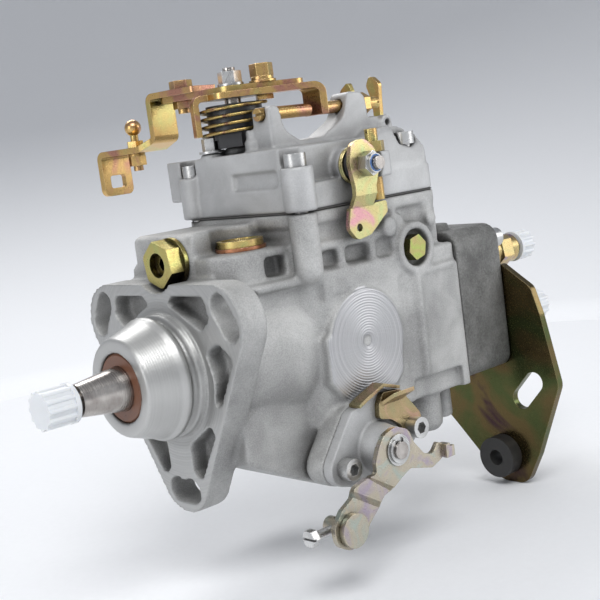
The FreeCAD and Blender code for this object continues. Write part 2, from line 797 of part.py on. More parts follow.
def fulcrum_bolts():
    """The two side bolts whose inner pins carry the governor lever."""
    near = [
        hex_bar(11.0, -body_half_width - 1.0, 5.5 - seat_fit, "y", fulcrum_x, fulcrum_z, 15.0),
        rod_y(5.0 - seat_fit, -body_half_width + 4.4, -31.0, fulcrum_x, fulcrum_z),
        rod_y(fulcrum_pin_radius, -32.0, -22.5, fulcrum_x, fulcrum_z),
    ]
    far = [
        hex_bar(11.0, cover_far - 1.0 + seat_fit, 5.5, "y", fulcrum_x, fulcrum_z, 15.0),
        rod_y(5.0 - seat_fit, 31.0, cover_far, fulcrum_x, fulcrum_z),
        rod_y(fulcrum_pin_radius, 22.5, 32.0, fulcrum_x, fulcrum_z),
    ]
    return Part.makeCompound([joined(near), joined(far)])


def roller_ring():
    body = rod_x(bore_radius - running_fit, ring_front, ring_rear)
    body = body.cut(rod_x(ring_bore, ring_front - 1.0, ring_rear + 1.0))
    for i in range(roller_count):
        body = body.cut(roller(i, joint_gap, roller_length + 2 * joint_gap))
    pin = rod_z(advance_pin_radius, timing_z, -bore_radius + 4.0, timing_x, 0.0)
    ball = Part.makeSphere(advance_ball_radius, Vector(timing_x, 0.0, timing_z))
    return joined([body, pin, ball])


def roller(i, clearance, length):
    start = roller_pitch_radius - length / 2
    shape = Part.makeCylinder(roller_radius + clearance, length, Vector(roller_x, start, 0), Vector(0, 1, 0))
    shape.rotate(Vector(0, 0, 0), Vector(1, 0, 0), 360.0 * i / roller_count)
    return shape


def rollers():
    return Part.makeCompound([roller(i, 0.0, roller_length) for i in range(roller_count)])


def cam_disc():
    disc = rod_x(cam_radius, cam_face_x, cam_rear_x)
    hub_body = rod_x(cam_hub_radius, cam_hub_front, cam_rear_x)
    lobes = []
    for i in range(roller_count):
        lobe = Part.makeCylinder(cam_lobe_radius, cam_radius - cam_inner_radius,
                                 Vector(cam_peak_x + cam_lobe_radius, cam_inner_radius, 0), Vector(0, 1, 0))
        lobe.rotate(Vector(0, 0, 0), Vector(1, 0, 0), 360.0 * (i + 0.5) / roller_count)
        lobes.append(lobe)
    track = rod_x(cam_radius, cam_peak_x - 1.0, cam_face_x + 2.0)
    raised = joined(lobes).common(track)
    slot = block(cam_hub_front - 1.0, cam_rear_x - 3.0, -tongue_width / 2 - joint_gap, tongue_width / 2 + joint_gap,
                 -shaft_radius - 0.5, shaft_radius + 0.5)
    return joined([disc, hub_body, raised]).cut(slot)


def plunger():
    collar = rod_x(plunger_collar_radius, cam_rear_x, cam_rear_x + plunger_collar_length)
    stem = rod_x(plunger_radius, cam_rear_x, plunger_end)
    return joined([collar, stem])


def control_collar():
    body = rod_x(collar_radius, collar_centre - collar_width / 2, collar_centre + collar_width / 2)
    body = body.cut(rod_x(plunger_radius + running_fit, collar_centre - collar_width, collar_centre + collar_width))
    hole = rod_z(lever_ball_radius + running_fit, plunger_radius + 0.8, collar_radius + 1.0, collar_centre, 0.0)
    return body.cut(hole)


def timing_piston():
    body = rod_y(piston_radius, -piston_half_length, piston_half_length, timing_x, timing_z)
    window = block(timing_x - 3.4, timing_x + 3.4, -6.0, 6.0, timing_z + 3.6, timing_z + piston_radius + 1.0)
    socket = rod_z(advance_ball_radius + 0.06, timing_z - 3.6, timing_z + 5.0, timing_x, 0.0)
    spring_pocket = rod_y(6.5, piston_half_length - piston_pocket, piston_half_length + 1.0, timing_x, timing_z)
    return body.cut(joined([window, socket])).cut(spring_pocket)


def timing_spring():
    """The advance spring between the piston's pocket and the far cover, a stack of round turns."""
    turns = []
    start = piston_half_length - piston_pocket + timing_stroke + loose_fit
    end = timing_half_width
    count = 7
    for i in range(count):
        y = start + 0.8 + (end - start - 1.6) * i / (count - 1)
        turn = Part.makeTorus(4.8, 0.8, Vector(timing_x, y, timing_z), Vector(0, 1, 0))
        turns.append(turn)
    back = rod_y(0.5, start + 0.8, end - 0.8, timing_x, timing_z - 4.8)
    return joined([back] + turns)


def timing_cover():
    """The blank cover of the cross bore, on the side away from the cold start lever."""
    base = belt([(52.5, -42.5, 8.4), (timing_x, timing_z - 2.0, 15.6), (90.5, -52.5, 8.4),
                 (timing_x, timing_z + 4.0, 13.6)], "y", timing_half_width, 5.0)
    dome = rod_y(11.0, timing_half_width + 4.0, timing_half_width + 9.0, timing_x, timing_z)
    body = joined([base, dome])
    for x, z in timing_screw_places:
        body = body.cut(rod_y(screw_radius + loose_fit, timing_half_width - 1.0, timing_half_width + 6.0, x, z))
    return body


def distributor_head():
    outline = [(-head_half_width, head_bottom, 7.0), (-head_half_width, head_top, 9.0),
               (head_half_width, head_top, 9.0), (head_half_width, head_bottom, 7.0)]
    body = [
        plate(outline, 7.0, "x", body_rear, head_thickness),
        rod_x(head_boss_radius, body_rear + 10.0, head_rear),
        rod_x(bore_radius - running_fit, body_rear - spigot_length, body_rear + 1.0),
        rod_x(20.0, body_rear - spigot_length - 6.0, body_rear),
        rod_z(12.0, 30.0, head_top + 6.0, 164.0, 6.0),
        rod_z(6.3, 30.0, head_top + 3.5, 158.5, -28.0),
    ]
    body = joined(body)
    cuts = [
        rod_x(barrel_radius, barrel_front - 1.0, head_rear - 8.0),
        rod_x(plunger_radius + 2.0, head_rear - 9.0, head_rear + 1.0),
        rod_z(6.0, 24.0, head_top + 8.0, 164.0, 6.0),
        rod_x(3.0, body_rear + 8.0, head_rear + 1.0, 0.0, 0.0),
    ]
    for y, z in outlet_places():
        cuts.append(rod_x(6.0, head_rear - 16.0, head_rear + 1.0, y, z))
    for y, z in head_screw_places + bracket_screw_places:
        cuts.append(rod_x(screw_radius + loose_fit, body_rear - 1.0, head_rear + 1.0, y, z))
    y, z = bracket_boss_screw
    cuts.append(rod_x(boss_screw_radius + seat_fit, head_rear - boss_screw_length, head_rear + 1.0, y, z))
    return body.cut(joined(cuts))


def outlet_places():
    return [at_angle(outlet_radius, outlet_first_angle + 360.0 * i / outlet_count) for i in range(outlet_count)]


def distributor_barrel():
    body = rod_x(barrel_radius - seat_fit, barrel_front, head_rear - 8.0)
    return body.cut(rod_x(plunger_radius + running_fit, barrel_front - 1.0, head_rear))


def head_plugs():
    """The centre vent plug and the blanking plug of the upper port."""
    centre = joined([
        hex_bar(17.0, head_rear, 7.0, "x", 0.0, 0.0, 0.0),
        rod_x(plunger_radius + 2.0 - seat_fit, head_rear - 7.5, head_rear + 1.0),
    ])
    top = joined([
        hex_bar(17.0, head_top + 6.0, 6.0, "z", 164.0, 6.0, 10.0),
        rod_z(6.0 - seat_fit, 30.0, head_top + 7.0, 164.0, 6.0),
    ])
    return Part.makeCompound([centre, top])


def valve_holders():
    holders = []
    for y, z in outlet_places():
        body = joined([
            rod_x(6.0 - seat_fit, head_rear - 15.0, head_rear + 1.0, y, z),
            rod_x(holder_radius, head_rear, holder_hex_start + 1.0, y, z),
            hex_bar(holder_hex, holder_hex_start, holder_hex_length, "x", y, z, 20.0),
            rod_x(holder_radius, holder_hex_start, holder_collar_end, y, z),
            rod_x(holder_thread_radius, holder_hex_start, holder_thread_end, y, z),
        ])
        body = body.cut(rod_x(3.6, head_rear - 16.0, holder_hex_start, y, z))
        holders.append(body.cut(rod_x(1.2, holder_hex_start - 1.0, holder_thread_end + 1.0, y, z)))
    return Part.makeCompound(holders)


def delivery_valves():
    """The small fluted valve inside each holder, seated on the head's side."""
    valves = []
    for y, z in outlet_places():
        stem = rod_x(2.2, head_rear - 14.0, head_rear + 4.0, y, z)
        crown = rod_x(3.6 - running_fit, head_rear + 2.0, head_rear + 6.0, y, z)
        foot = rod_x(3.6 - running_fit, head_rear - 14.0, head_rear - 11.0, y, z)
        valves.append(joined([stem, crown, foot]))
    return Part.makeCompound(valves)


def valve_caps():
    caps = []
    for y, z in outlet_places():
        caps.append(ribbed_cap(outlet_cap_start, outlet_cap_end, holder_thread_radius + seat_fit, outlet_cap_radius, 12, y, z,
                               outlet_cap_end - holder_thread_end - 0.1, False))
    return Part.makeCompound(caps)


def cover_outline(inset):
    return [(cover_front + inset, cover_near + inset), (cover_front + inset, cover_far - inset),
            (cover_rear - inset, cover_far - inset), (cover_rear - inset, cover_near + inset)]


def cover_gasket():
    body = plate(cover_outline(0.3), 6.0, "z", parting_z, gasket_thickness)
    inner = [(56.2, -31.0), (56.2, 33.5), (125.0, 33.5), (125.0, 24.0), (140.0, 24.0), (140.0, -28.0), (125.0, -28.0),
             (125.0, -31.0)]
    body = body.cut(plate(inner, 2.0, "z", parting_z - 1.0, gasket_thickness + 2.0))
    for x, y, head, bottom in cover_screw_places:
        body = body.cut(rod_z(screw_radius + seat_fit, parting_z - 1.0, cover_base + 1.0, x, y))
    return body


def governor_cover():
    low = plate(cover_outline(0.0), 7.0, "z", cover_base, cover_step_z - cover_base)
    low_z = cover_step_z - 3.0
    high = plate([(cover_front + 0.5, cover_near + 5.5), (cover_front + 0.5, lip_far, 2.0), (74.0, lip_far, 2.0),
                  (80.0, cover_far - 2.0, 4.0), (90.0, cover_far - 2.0, 0.0), (90.0, cover_near + 5.5, 0.0)], 6.0,
                 "z", low_z, cover_top - low_z)
    dome_side = plate([(cover_near + 0.3, low_z), (cover_near + 0.3, cover_step_z + 2.0, 6.0),
                       (cover_near + 8.0, cover_rear_top, 5.0), (cover_far - 8.0, cover_rear_top, 6.0),
                       (cover_far - 0.5, 82.0, 6.0), (cover_far - 0.5, low_z)], 0.0, "x", 76.0, 80.0)
    dome_front = plate([(84.0, low_z), (84.0, cover_top), (114.0, cover_top, 6.0), (120.0, cover_rear_top, 6.0),
                        (138.0, cover_rear_top, 6.0), (cover_rear - 0.5, 80.0, 6.0), (cover_rear - 0.5, low_z)], 0.0,
                       "y", cover_near - 2.0, cover_far - cover_near + 4.0)
    dome_plan = plate([(84.0, cover_near), (84.0, cover_far), (cover_rear - 0.3, cover_far, 9.0),
                       (cover_rear - 0.3, cover_near, 9.0)], 0.0, "z", low_z, 30.0)
    crown = dome_side.common(dome_front).common(dome_plan)
    bosses = [rod_z(7.5, cover_base, head, x, y) for x, y, head, bottom in cover_screw_places[:2]]
    stop_boss = rod_y(8.2, cover_near, cover_near + 12.0, stop_x, stop_z)
    lug_near = limit_y - 6.2
    screw_lug = plate([(93.0, cover_near + 4.0), (93.0, lug_near), (limit_x + 6.2, lug_near),
                       (limit_x + 6.2, cover_near + 4.0)], 2.5, "z", 74.0, limit_lug_top - 74.0)
    screw_lug = screw_lug.cut(rod_y(11.8, lug_near - 1.0, cover_near, stop_x, stop_z))
    throttle_boss = rod_z(7.0, cover_top - 1.0, 96.5, throttle_x, throttle_y)
    rear_boss = rod_x(9.0, cover_rear - 6.0, cover_rear + 7.0, 4.0, 78.0)
    body = joined([low, high, crown, stop_boss, screw_lug, throttle_boss, rear_boss, stop_ears(), cover_posts()] + bosses)
    return body.cut(joined(cover_hollows())).removeSplitter()


def stop_ears():
    """The two ears that carry the speed screws, linked by a low arch."""
    front = front_ear_x
    rear = rear_ear_x
    base = cover_top - 4.0
    arch = [
        (front, base, 0.0), (front, ear_front_top, 3.5), (front + front_ear_thickness - 0.5, ear_front_top, 3.0),
        (front + front_ear_thickness + 1.5, 101.0, 8.0), (front + 18.0, cover_top + 2.5, 6.0),
        (rear - 20.0, cover_top + 3.0, 8.0), (rear - 4.5, 104.0, 8.0), (rear, ear_rear_top, 3.0),
        (rear + rear_ear_thickness, ear_rear_top - 0.5, 5.0), (rear + rear_ear_thickness + 2.5, base, 0.0),
    ]
    return plate(arch, 3.0, "y", stop_plane_y - ear_half_width, 2 * ear_half_width)


def cover_posts():
    """The cast posts on the roof: a stepped one before the spring, a low one under the post bolt, an eyelet lug."""
    stepped = joined([rod_z(5.2, cover_top - 1.0, 98.0, 65.5, -4.6), rod_z(4.0, 97.0, 103.2, 65.5, -4.6)])
    low = rod_z(5.5, cover_top - 1.0, 95.0, 57.5, 19.0)
    lug = plate([(133.5, cover_top), (133.5, 98.5, 3.0), (137.0, 103.0, 2.5), (141.5, 102.5, 3.0), (142.5, cover_top)],
                1.0, "y", -22.0, 6.0)
    lug = lug.cut(rod_y(1.7, -23.0, -15.0, 139.0, 99.0))
    lump = plate([(127.0, cover_top), (127.0, 102.5, 2.0), (134.5, 103.0, 2.0), (134.5, cover_top)], 1.0,
                 "y", -20.0, 11.0)
    return joined([stepped, low, lug, lump])


def cover_hollows():
    room_front = cover_front + cover_wall
    ceiling = cover_top - cover_roof
    hollows = [
        plate([(room_front, cover_near + 7.0), (room_front, cover_far - cover_wall),
               (cover_rear - 20.0, cover_far - cover_wall), (cover_rear - 20.0, 24.0), (cover_rear - 5.0, 24.0),
               (cover_rear - 5.0, -26.0), (cover_rear - 20.0, -26.0), (cover_rear - 20.0, cover_near + 7.0)],
              3.0, "z", parting_z - 1.0, ceiling - parting_z + 1.0),
        rod_z(throttle_shaft_radius + running_fit, 70.0, 100.0, throttle_x, throttle_y),
        rod_y(stop_shaft_radius + running_fit, cover_near - 3.0, cover_near + 14.0, stop_x, stop_z),
        rod_x(stop_screw_radius + seat_fit, 60.0, 72.0, stop_plane_y, stop_screw_z),
        rod_x(stop_screw_radius + seat_fit, 108.0, 135.0, stop_plane_y, stop_screw_z),
        rod_z(stop_screw_radius + seat_fit, 70.0, 90.0, limit_x, limit_y),
        rod_x(screw_radius + seat_fit, cover_rear - 8.0, cover_rear + 9.0, 4.0, 78.0),
        rod_z(screw_radius + seat_fit, 86.0, 97.0, 57.5, 19.0),
        plate([(cover_front - 1.0, cover_step_z + 7.5, 0.0), (cover_front - 1.0, cover_step_z - 0.4, 0.0),
               (cover_front + 2.2, cover_step_z - 0.4, 0.0), (cover_front + 2.2, cover_step_z + 7.5, 0.0)],
              0.0, "y", -31.5, 32.0),
    ]
    for x, y, head, bottom in cover_screw_places:
        hollows.append(rod_z(screw_radius + seat_fit, parting_z - 1.0, head + 1.0, x, y))
    for x, y, head, bottom in cover_screw_places[1:]:
        hollows.append(rod_z(cap_head_radius + 1.6, head, cover_rear_top + 2.0, x, y))
    near_x, near_y, near_head, near_bottom = cover_screw_places[0]
    hollows.append(rod_z(cap_head_radius + 2.6, near_head, cover_top + 5.0, near_x, near_y))
    return hollows


def fixing_screws():
    """Every fixing screw: governor cover, cold start cover, timing cover, head, bracket and roof post."""
    screws = []
    for x, y, head, bottom in cover_screw_places:
        screws.append(cap_screw(head, head - bottom - 1.0, "z", x, y, 1))
    cold_face = timing_cover_y - cold_cover_thickness
    for x, z in cold_screw_places[:1]:
        screws.append(cap_screw(cold_face, cold_cover_thickness + 9.0, "y", x, z, -1))
    for x, z in cold_screw_places[1:]:
        screws.append(cap_screw(cold_face - 3.0, cold_cover_thickness + 12.0, "y", x, z, -1))
    for x, z in timing_screw_places:
        screws.append(cap_screw(timing_half_width + 5.0, 14.0, "y", x, z, 1))
    for y, z in head_screw_places:
        screws.append(cap_screw(head_rear, head_thickness + 11.0, "x", y, z, 1))
    for y, z in bracket_screw_places:
        screws.append(cap_screw(head_rear + bracket_thickness, head_thickness + bracket_thickness + 11.0, "x", y, z, 1))
    y, z = bracket_boss_screw
    screws.append(cap_screw(head_rear + bracket_thickness, bracket_thickness + boss_screw_length - 1.0, "x", y, z, 1,
                            boss_screw_radius))
    return Part.makeCompound(screws + [post_bolt()])


def inlet_washer():
    ring = rod_z(11.6, shelf_near_z + 0.4, shelf_near_z + 2.0, inlet_x, inlet_y)
    return ring.cut(rod_z(7.2, shelf_near_z - 1.0, shelf_near_z + 3.0, inlet_x, inlet_y))


def inlet_plug():
    base = shelf_near_z + 2.0
    head = joined([
        rod_z(10.6, base, base + 3.2, inlet_x, inlet_y),
        rod_z(7.0 - seat_fit, 37.0, base + 1.0, inlet_x, inlet_y),
    ])
    dish = rod_z(8.6, base + 2.6, base + 4.0, inlet_x, inlet_y)
    key_way = hex_bar(8.0, base - 3.0, 8.0, "z", inlet_x, inlet_y, 10.0)
    return head.cut(joined([dish, key_way]))


def regulating_valve():
    face = flange_thickness - 1.0
    body = joined([
        hex_bar(19.0, face - 9.5, 7.5, "x", valve_y, valve_z, 20.0),
        rod_x(11.3, face - 2.0, face, valve_y, valve_z),
        rod_x(7.0 - seat_fit, face - 1.0, face + 22.0, valve_y, valve_z),
    ])
    mouth = rod_x(5.6, face - 11.0, face - 6.0, valve_y, valve_z)
    key_way = hex_bar(5.5, face - 7.0, 6.0, "x", valve_y, valve_z, 0.0)
    return body.cut(mouth).cut(key_way)


def slotted_screw(start, end, axis, u, v, slot_at_end):
    low = on_plane(axis, start, u, v)
    along = on_plane(axis, 1.0, 0.0, 0.0)
    body = Part.makeCylinder(stop_screw_radius, end - start, low, along)
    slot_start = end - 1.8 if slot_at_end else start - 0.2
    slot = plate([(u - 5.0, v - 0.6), (u + 5.0, v - 0.6), (u + 5.0, v + 0.6), (u - 5.0, v + 0.6)], 0.0,
                 axis, slot_start, 2.0)
    return body.cut(slot)


def lock_nut(across, start, length, axis, u, v, turn):
    nut = hex_bar(across, start, length, axis, u, v, turn)
    low = on_plane(axis, start - 1.0, u, v)
    along = on_plane(axis, 1.0, 0.0, 0.0)
    return nut.cut(Part.makeCylinder(stop_screw_radius + seat_fit, length + 2.0, low, along))


def adjusting_screws():
    """The idle, full speed, stop limit and full load screws, with the lock nuts that hold them."""
    rear_face = rear_ear_x + rear_ear_thickness + 1.2
    screws = [
        slotted_screw(front_ear_x - 2.0, hook_x - 4.0, "x", stop_plane_y, stop_screw_z, False),
        slotted_screw(hook_x + hook_thickness + loose_fit, 140.0, "x", stop_plane_y, stop_screw_z, True),
        lock_nut(10.0, rear_face, 4.5, "x", stop_plane_y, stop_screw_z, 30.0),
        slotted_screw(limit_tip, limit_top, "z", limit_x, limit_y, True),
        lock_nut(10.0, limit_lug_top + seat_fit, 5.0, "z", limit_x, limit_y, 30.0),
        slotted_screw(cover_rear - 7.0, cover_rear + 22.0, "x", 4.0, 78.0, True),
        lock_nut(10.0, cover_rear + 7.05, 5.0, "x", 4.0, 78.0, 15.0),
    ]
    return Part.makeCompound(screws)


def spring_guide():
    """The black bobbin inside the return spring, with its square foot blocks."""
    base = 96.5
    core = rod_z(13.6, base + 4.0, throttle_plate_z - 2.6, throttle_x, throttle_y)
    foot = rod_z(12.4, base, base + 5.0, throttle_x, throttle_y)
    blocks = []
    for degrees in (-144, -52, 90):
        piece = block(throttle_x + 9.0, throttle_x + 14.4, throttle_y - 5.6, throttle_y + 5.6, base, base + 6.4)
        blocks.append(turned_about_z(piece, throttle_x, throttle_y, degrees))
    body = joined([core, foot] + blocks)
    for x, y, radius in ((65.5, -4.6, 5.6), (57.5, 19.0, 6.4)):
        body = body.cut(rod_z(radius, base - 1.0, 104.5, x, y))
    return body.cut(rod_z(throttle_shaft_radius + loose_fit, base - 1.0, throttle_plate_z, throttle_x, throttle_y))


def throttle_spring():
    """The coiled return spring round the bobbin."""
    height = spring_top - spring_bottom
    path = Part.makeHelix(height / spring_turns, height, spring_radius)
    section = Part.Wire(Part.makeCircle(spring_wire / 2, Vector(spring_radius, 0, 0), Vector(0, 1, 0)))
    coil = Part.Wire(path.Edges).makePipeShell([section], True, True)
    coil.rotate(Vector(0, 0, 0), Vector(0, 0, 1), spring_start)
    coil.translate(Vector(throttle_x, throttle_y, spring_bottom))
    return coil


def post_bolt():
    """The bolt and washer on the low post under the spring."""
    washer = rod_z(6.2, 95.0, 96.2, 57.5, 19.0)
    head = hex_bar(8.0, 96.2, 6.0, "z", 57.5, 19.0, 10.0)
    shank = rod_z(screw_radius, 86.5, 96.5, 57.5, 19.0)
    return joined([washer, head, shank])


def throttle_shaft():
    crank_z = 80.5
    shaft = rod_z(throttle_shaft_radius, crank_z, throttle_plate_top, throttle_x, throttle_y)
    stud = rod_z(3.0, throttle_plate_top - 1.0, 134.3, throttle_x, throttle_y)
    crank = belt([(throttle_x, throttle_y, 6.5), (throttle_x + 7.0, throttle_y, 4.0)], "z", crank_z, 3.5)
    pin = rod_z(2.0, crank_z - 4.5, crank_z + 1.0, throttle_x + 7.0, throttle_y)
    return joined([shaft, stud, crank, pin])


def throttle_lever():
    """The stop arm: a flat plate on the shaft whose far end is bent down between the screws."""
    y_near = stop_plane_y - 7.0
    y_far = stop_plane_y + 7.0
    face = hook_x + hook_thickness
    sheet = plate([(40.0, throttle_plate_z), (40.0, throttle_plate_top), (face, throttle_plate_top, 5.5),
                   (face, hook_bottom, 0.5), (hook_x, hook_bottom, 0.5), (hook_x, throttle_plate_z, 2.5)], 0.0,
                  "y", -30.0, 70.0)
    outline = plate([(52.5, 3.2, 5.0), (57.0, 20.0, 8.0), (70.0, 25.0, 8.0), (79.0, 19.0, 6.0), (86.0, y_far, 8.0),
                     (face, y_far, 0.0), (face, y_near, 0.0)], 4.0, "z", hook_bottom - 1.0,
                    throttle_plate_top - hook_bottom + 2.0)
    reach = 20.6
    spur = plate([(-10.0, throttle_plate_z), (-10.0, throttle_plate_top), (-reach, throttle_plate_top, 4.5),
                  (-reach, 103.0, 0.5), (2.6 - reach, 103.0, 0.5), (2.6 - reach, throttle_plate_z, 1.9)], 0.0,
                 "y", -4.0, 8.0)
    spur.translate(Vector(throttle_x, throttle_y, 0))
    spur = turned_about_z(spur, throttle_x, throttle_y, -25.0)
    x, y = clamp_place
    body = joined([sheet.common(outline), spur])
    body = body.cut(rod_z(screw_radius + seat_fit, throttle_plate_z - 1.0, throttle_plate_top + 1.0, x, y))
    return body.cut(rod_z(throttle_shaft_radius + seat_fit, throttle_plate_z - 1.0, throttle_plate_top + 1.0,
                          throttle_x, throttle_y))


def strap_place(along, across):
    angle = math.radians(strap_angle)
    x = throttle_x + along * math.cos(angle) + across * math.sin(angle)
    y = throttle_y + along * math.sin(angle) - across * math.cos(angle)
    return x, y


def throttle_strap():
    """The operating lever: a plate on the shaft and, bolted over it, a strap with two bends."""
    t = strap_thickness
    base = throttle_plate_top
    top = base + 2 * t
    low = strap_low_z
    end = 80.0
    side = [
        (17.0, top - t), (47.0, top - t, 1.5), (47.0, low + 1.2, 4.0), (58.8, low - t, 4.0), (87.0, low - t, 1.5),
        (87.0, end), (90.0, end), (90.0, low, 4.5), (59.5, low, 2.0), (50.0, low + 3.4, 1.0), (50.0, top, 4.5),
        (17.0, top),
    ]
    strap = plate(side, 0.0, "y", -20.0, 40.0)
    upper = strap_upper_width / 2
    lower = strap_width / 2
    plan = plate([(16.0, -upper, 3.0), (16.0, upper, 3.0), (51.0, upper, 0.0), (58.0, lower, 2.0), (100.0, lower, 0.0),
                  (100.0, -lower, 0.0), (58.0, -lower, 2.0), (51.0, -upper, 0.0)], 0.0, "z", 70.0, 70.0)
    corners = plate([(-lower, 140.0), (-lower, end, 3.6), (lower, end, 3.6), (lower, 140.0)], 0.0, "x", 0.0, 100.0)
    strap = strap.common(plan).common(corners)
    window = plate([(-5.4, end + 4.0), (5.4, end + 4.0), (5.4, end + 10.6), (-5.4, end + 10.6)], 1.4, "x", 80.0, 20.0)
    strap = strap.cut(window)
    strap = strap.cut(rod_z(2.5 + seat_fit, 90.0, 110.0, ball_along, 0.0))
    arm = belt([(0.0, 0.0, 8.6), (39.0, 0.0, 6.4)], "z", base, t)
    both = Part.makeCompound([arm, strap])
    both = both.cut(rod_z(screw_radius + seat_fit, base - 1.0, top + 1.0, strap_bolt_along, 0.0))
    both.translate(Vector(throttle_x, throttle_y, 0))
    both = turned_about_z(both, throttle_x, throttle_y, strap_angle)
    arm, strap = both.Solids
    x, y = clamp_place
    tail = belt([(throttle_x, throttle_y, 8.6), (97.5, -1.0, 5.0), (98.5, 2.5, 4.5)], "z", base, t)
    arm = joined([arm, tail])
    arm = arm.cut(rod_z(3.0 + seat_fit, base - 1.0, base + t + 1.0, throttle_x, throttle_y))
    arm = arm.cut(rod_z(screw_radius + seat_fit, base - 1.0, base + t + 1.0, x, y))
    return Part.makeCompound([arm, strap])


def throttle_nut():
    base = throttle_plate_top + strap_thickness
    flange_ring = rod_z(6.4, base, base + 1.4, throttle_x, throttle_y)
    nut = hex_bar(throttle_nut_hex, base + 1.4, 5.6, "z", throttle_x, throttle_y, 12.0)
    body = joined([flange_ring, nut])
    return body.cut(rod_z(3.0 + seat_fit, base - 1.0, base + 8.0, throttle_x, throttle_y))


def strap_bolt():
    """The two bolts of the operating lever: one beside the shaft, one that clamps the strap."""
    x, y = clamp_place
    base = throttle_plate_top + strap_thickness
    beside = joined([
        rod_z(6.6, base, base + 1.2, x, y),
        rod_z(5.6, base + 1.2, base + 2.8, x, y),
        hex_bar(10.0, base + 2.8, 6.2, "z", x, y, 25.0),
        rod_z(screw_radius, throttle_plate_z - 2.2, base + 1.0, x, y),
        hex_bar(8.0, throttle_plate_z - 2.2, 2.2, "z", x, y, 0.0),
    ])
    x, y = strap_place(strap_bolt_along, 0.0)
    top = base + strap_thickness
    clamp = joined([
        hex_bar(10.0, top, 4.2, "z", x, y, 20.0),
        rod_z(screw_radius, throttle_plate_top - 6.0, top + 1.0, x, y),
        hex_bar(9.0, throttle_plate_top - 3.6, 3.6, "z", x, y, 20.0),
    ])
    return Part.makeCompound([beside, clamp])


def ball_stud():
    x, y = strap_place(ball_along, 0.0)
    seat = strap_low_z
    ball_z = seat + 10.2
    ball = Part.makeSphere(ball_radius, Vector(x, y, ball_z))
    neck = rod_z(2.1, seat + 2.0, ball_z, x, y)
    foot = hex_bar(8.0, seat, 3.4, "z", x, y, 0.0)
    shank = rod_z(2.5, seat - 12.0, seat + 1.0, x, y)
    washer = rod_z(4.4, seat - strap_thickness - 1.4, seat - strap_thickness, x, y)
    nut = hex_bar(8.0, seat - strap_thickness - 6.4, 5.0, "z", x, y, 12.0)
    return joined([ball, neck, foot, shank, washer, nut])


def cable_bracket():
    """The small upright sheet bracket on the rear of the roof."""
    base = cover_rear_top
    x0, x1 = 129.8, 152.0
    near, far = -8.0, 0.0
    sole = block(x0, x1, near, far + 4.0, base, base + 2.2)
    first = plate([(near, base), (near, 116.5, 1.5), (near + 2.0, 121.5, 1.5), (far, 117.5, 2.0), (far, base)],
                  0.5, "x", x0, 2.5)
    second = plate([(near + 1.2, base), (near + 0.2, 112.0, 2.0), (near - 0.5, 119.5, 3.0), (far - 2.6, 124.5, 2.5),
                    (far + 0.4, 119.0, 2.5), (far - 2.6, 110.0, 2.0), (far - 2.6, base)], 0.5, "x", x1 - 2.5, 2.5)
    return joined([sole, first, second])


def stop_shaft():
    inner_end = cover_near + 15.5
    shaft = rod_y(stop_shaft_radius, stop_plate_y, inner_end, stop_x, stop_z)
    stud = rod_y(3.0, stop_plate_y - stop_sheet - 9.5, stop_plate_y + 1.0, stop_x, stop_z)
    crank = belt([(stop_x, stop_z, 5.0), (stop_x - 2.0, stop_z - 9.0, 3.0)][::-1], "y", inner_end - 3.0, 3.0)
    return joined([shaft, stud, crank])


def stop_lever():
    outer = stop_plate_y - stop_sheet
    upper = plate([(stop_x - 9.6, stop_z + 1.0, 6.0), (stop_x - 7.8, stop_z + 9.6, 5.0), (stop_x + 0.5, stop_z + 12.0, 6.0),
                   (stop_x + 7.6, stop_z + 6.5, 6.0), (stop_x + 8.6, stop_z - 3.0, 6.0), (stop_x + 5.6, 70.5, 3.0),
                   (stop_x + 5.6, 67.0, 0.0), (stop_x - 8.4, 67.0, 0.0), (stop_x - 8.0, 71.0, 3.0)], 4.0,
                  "y", outer, stop_sheet)
    inner = outer + stop_joggle
    lower = plate([(stop_x - 9.4, 61.9, 0.5), (stop_x + 5.6, 61.9, 0.5), (stop_x + 7.0, 62.6, 0.5),
                   (stop_x + 14.6, 62.9, 1.5), (stop_x + 14.6, 57.6, 2.0), (stop_x + 2.0, 48.6, 3.0),
                   (stop_x - 7.0, 47.0, 4.0), (stop_x - 11.8, 53.0, 4.0)], 1.0, "y", inner, stop_sheet)
    web = Part.Face(Part.makePolygon([Vector(0, outer, 67.2), Vector(0, outer + stop_sheet, 67.2),
                                      Vector(0, inner + stop_sheet, 61.6), Vector(0, inner, 61.6),
                                      Vector(0, outer, 67.2)]))
    web = web.extrude(Vector(14.0, 0, 0))
    web.translate(Vector(stop_x - 8.4, 0, 0))
    body = joined([upper, web, lower])
    body = body.cut(rod_y(3.0 + seat_fit, outer - 1.0, stop_plate_y + 1.0, stop_x, stop_z))
    return body.cut(rod_y(1.8, inner - 1.0, inner + stop_sheet + 1.0, stop_x - 5.0, 52.6))


def stop_nut():
    face = stop_plate_y - stop_sheet
    nut = hex_bar(10.0, face - 5.4, 5.4, "y", stop_x, stop_z, 20.0)
    collar = rod_y(4.4, face - 7.0, face - 5.0, stop_x, stop_z)
    body = joined([nut, collar])
    return body.cut(rod_y(3.0 + seat_fit, face - 8.0, face + 1.0, stop_x, stop_z))


def stop_boot():
    start = stop_plate_y + loose_fit
    end = cover_near - seat_fit
    body = joined([
        rod_y(8.6, start, start + 2.2, stop_x, stop_z),
        rod_y(7.0, start, end, stop_x, stop_z),
    ])
    return body.cut(rod_y(stop_shaft_radius + running_fit, start - 1.0, end + 1.0, stop_x, stop_z))


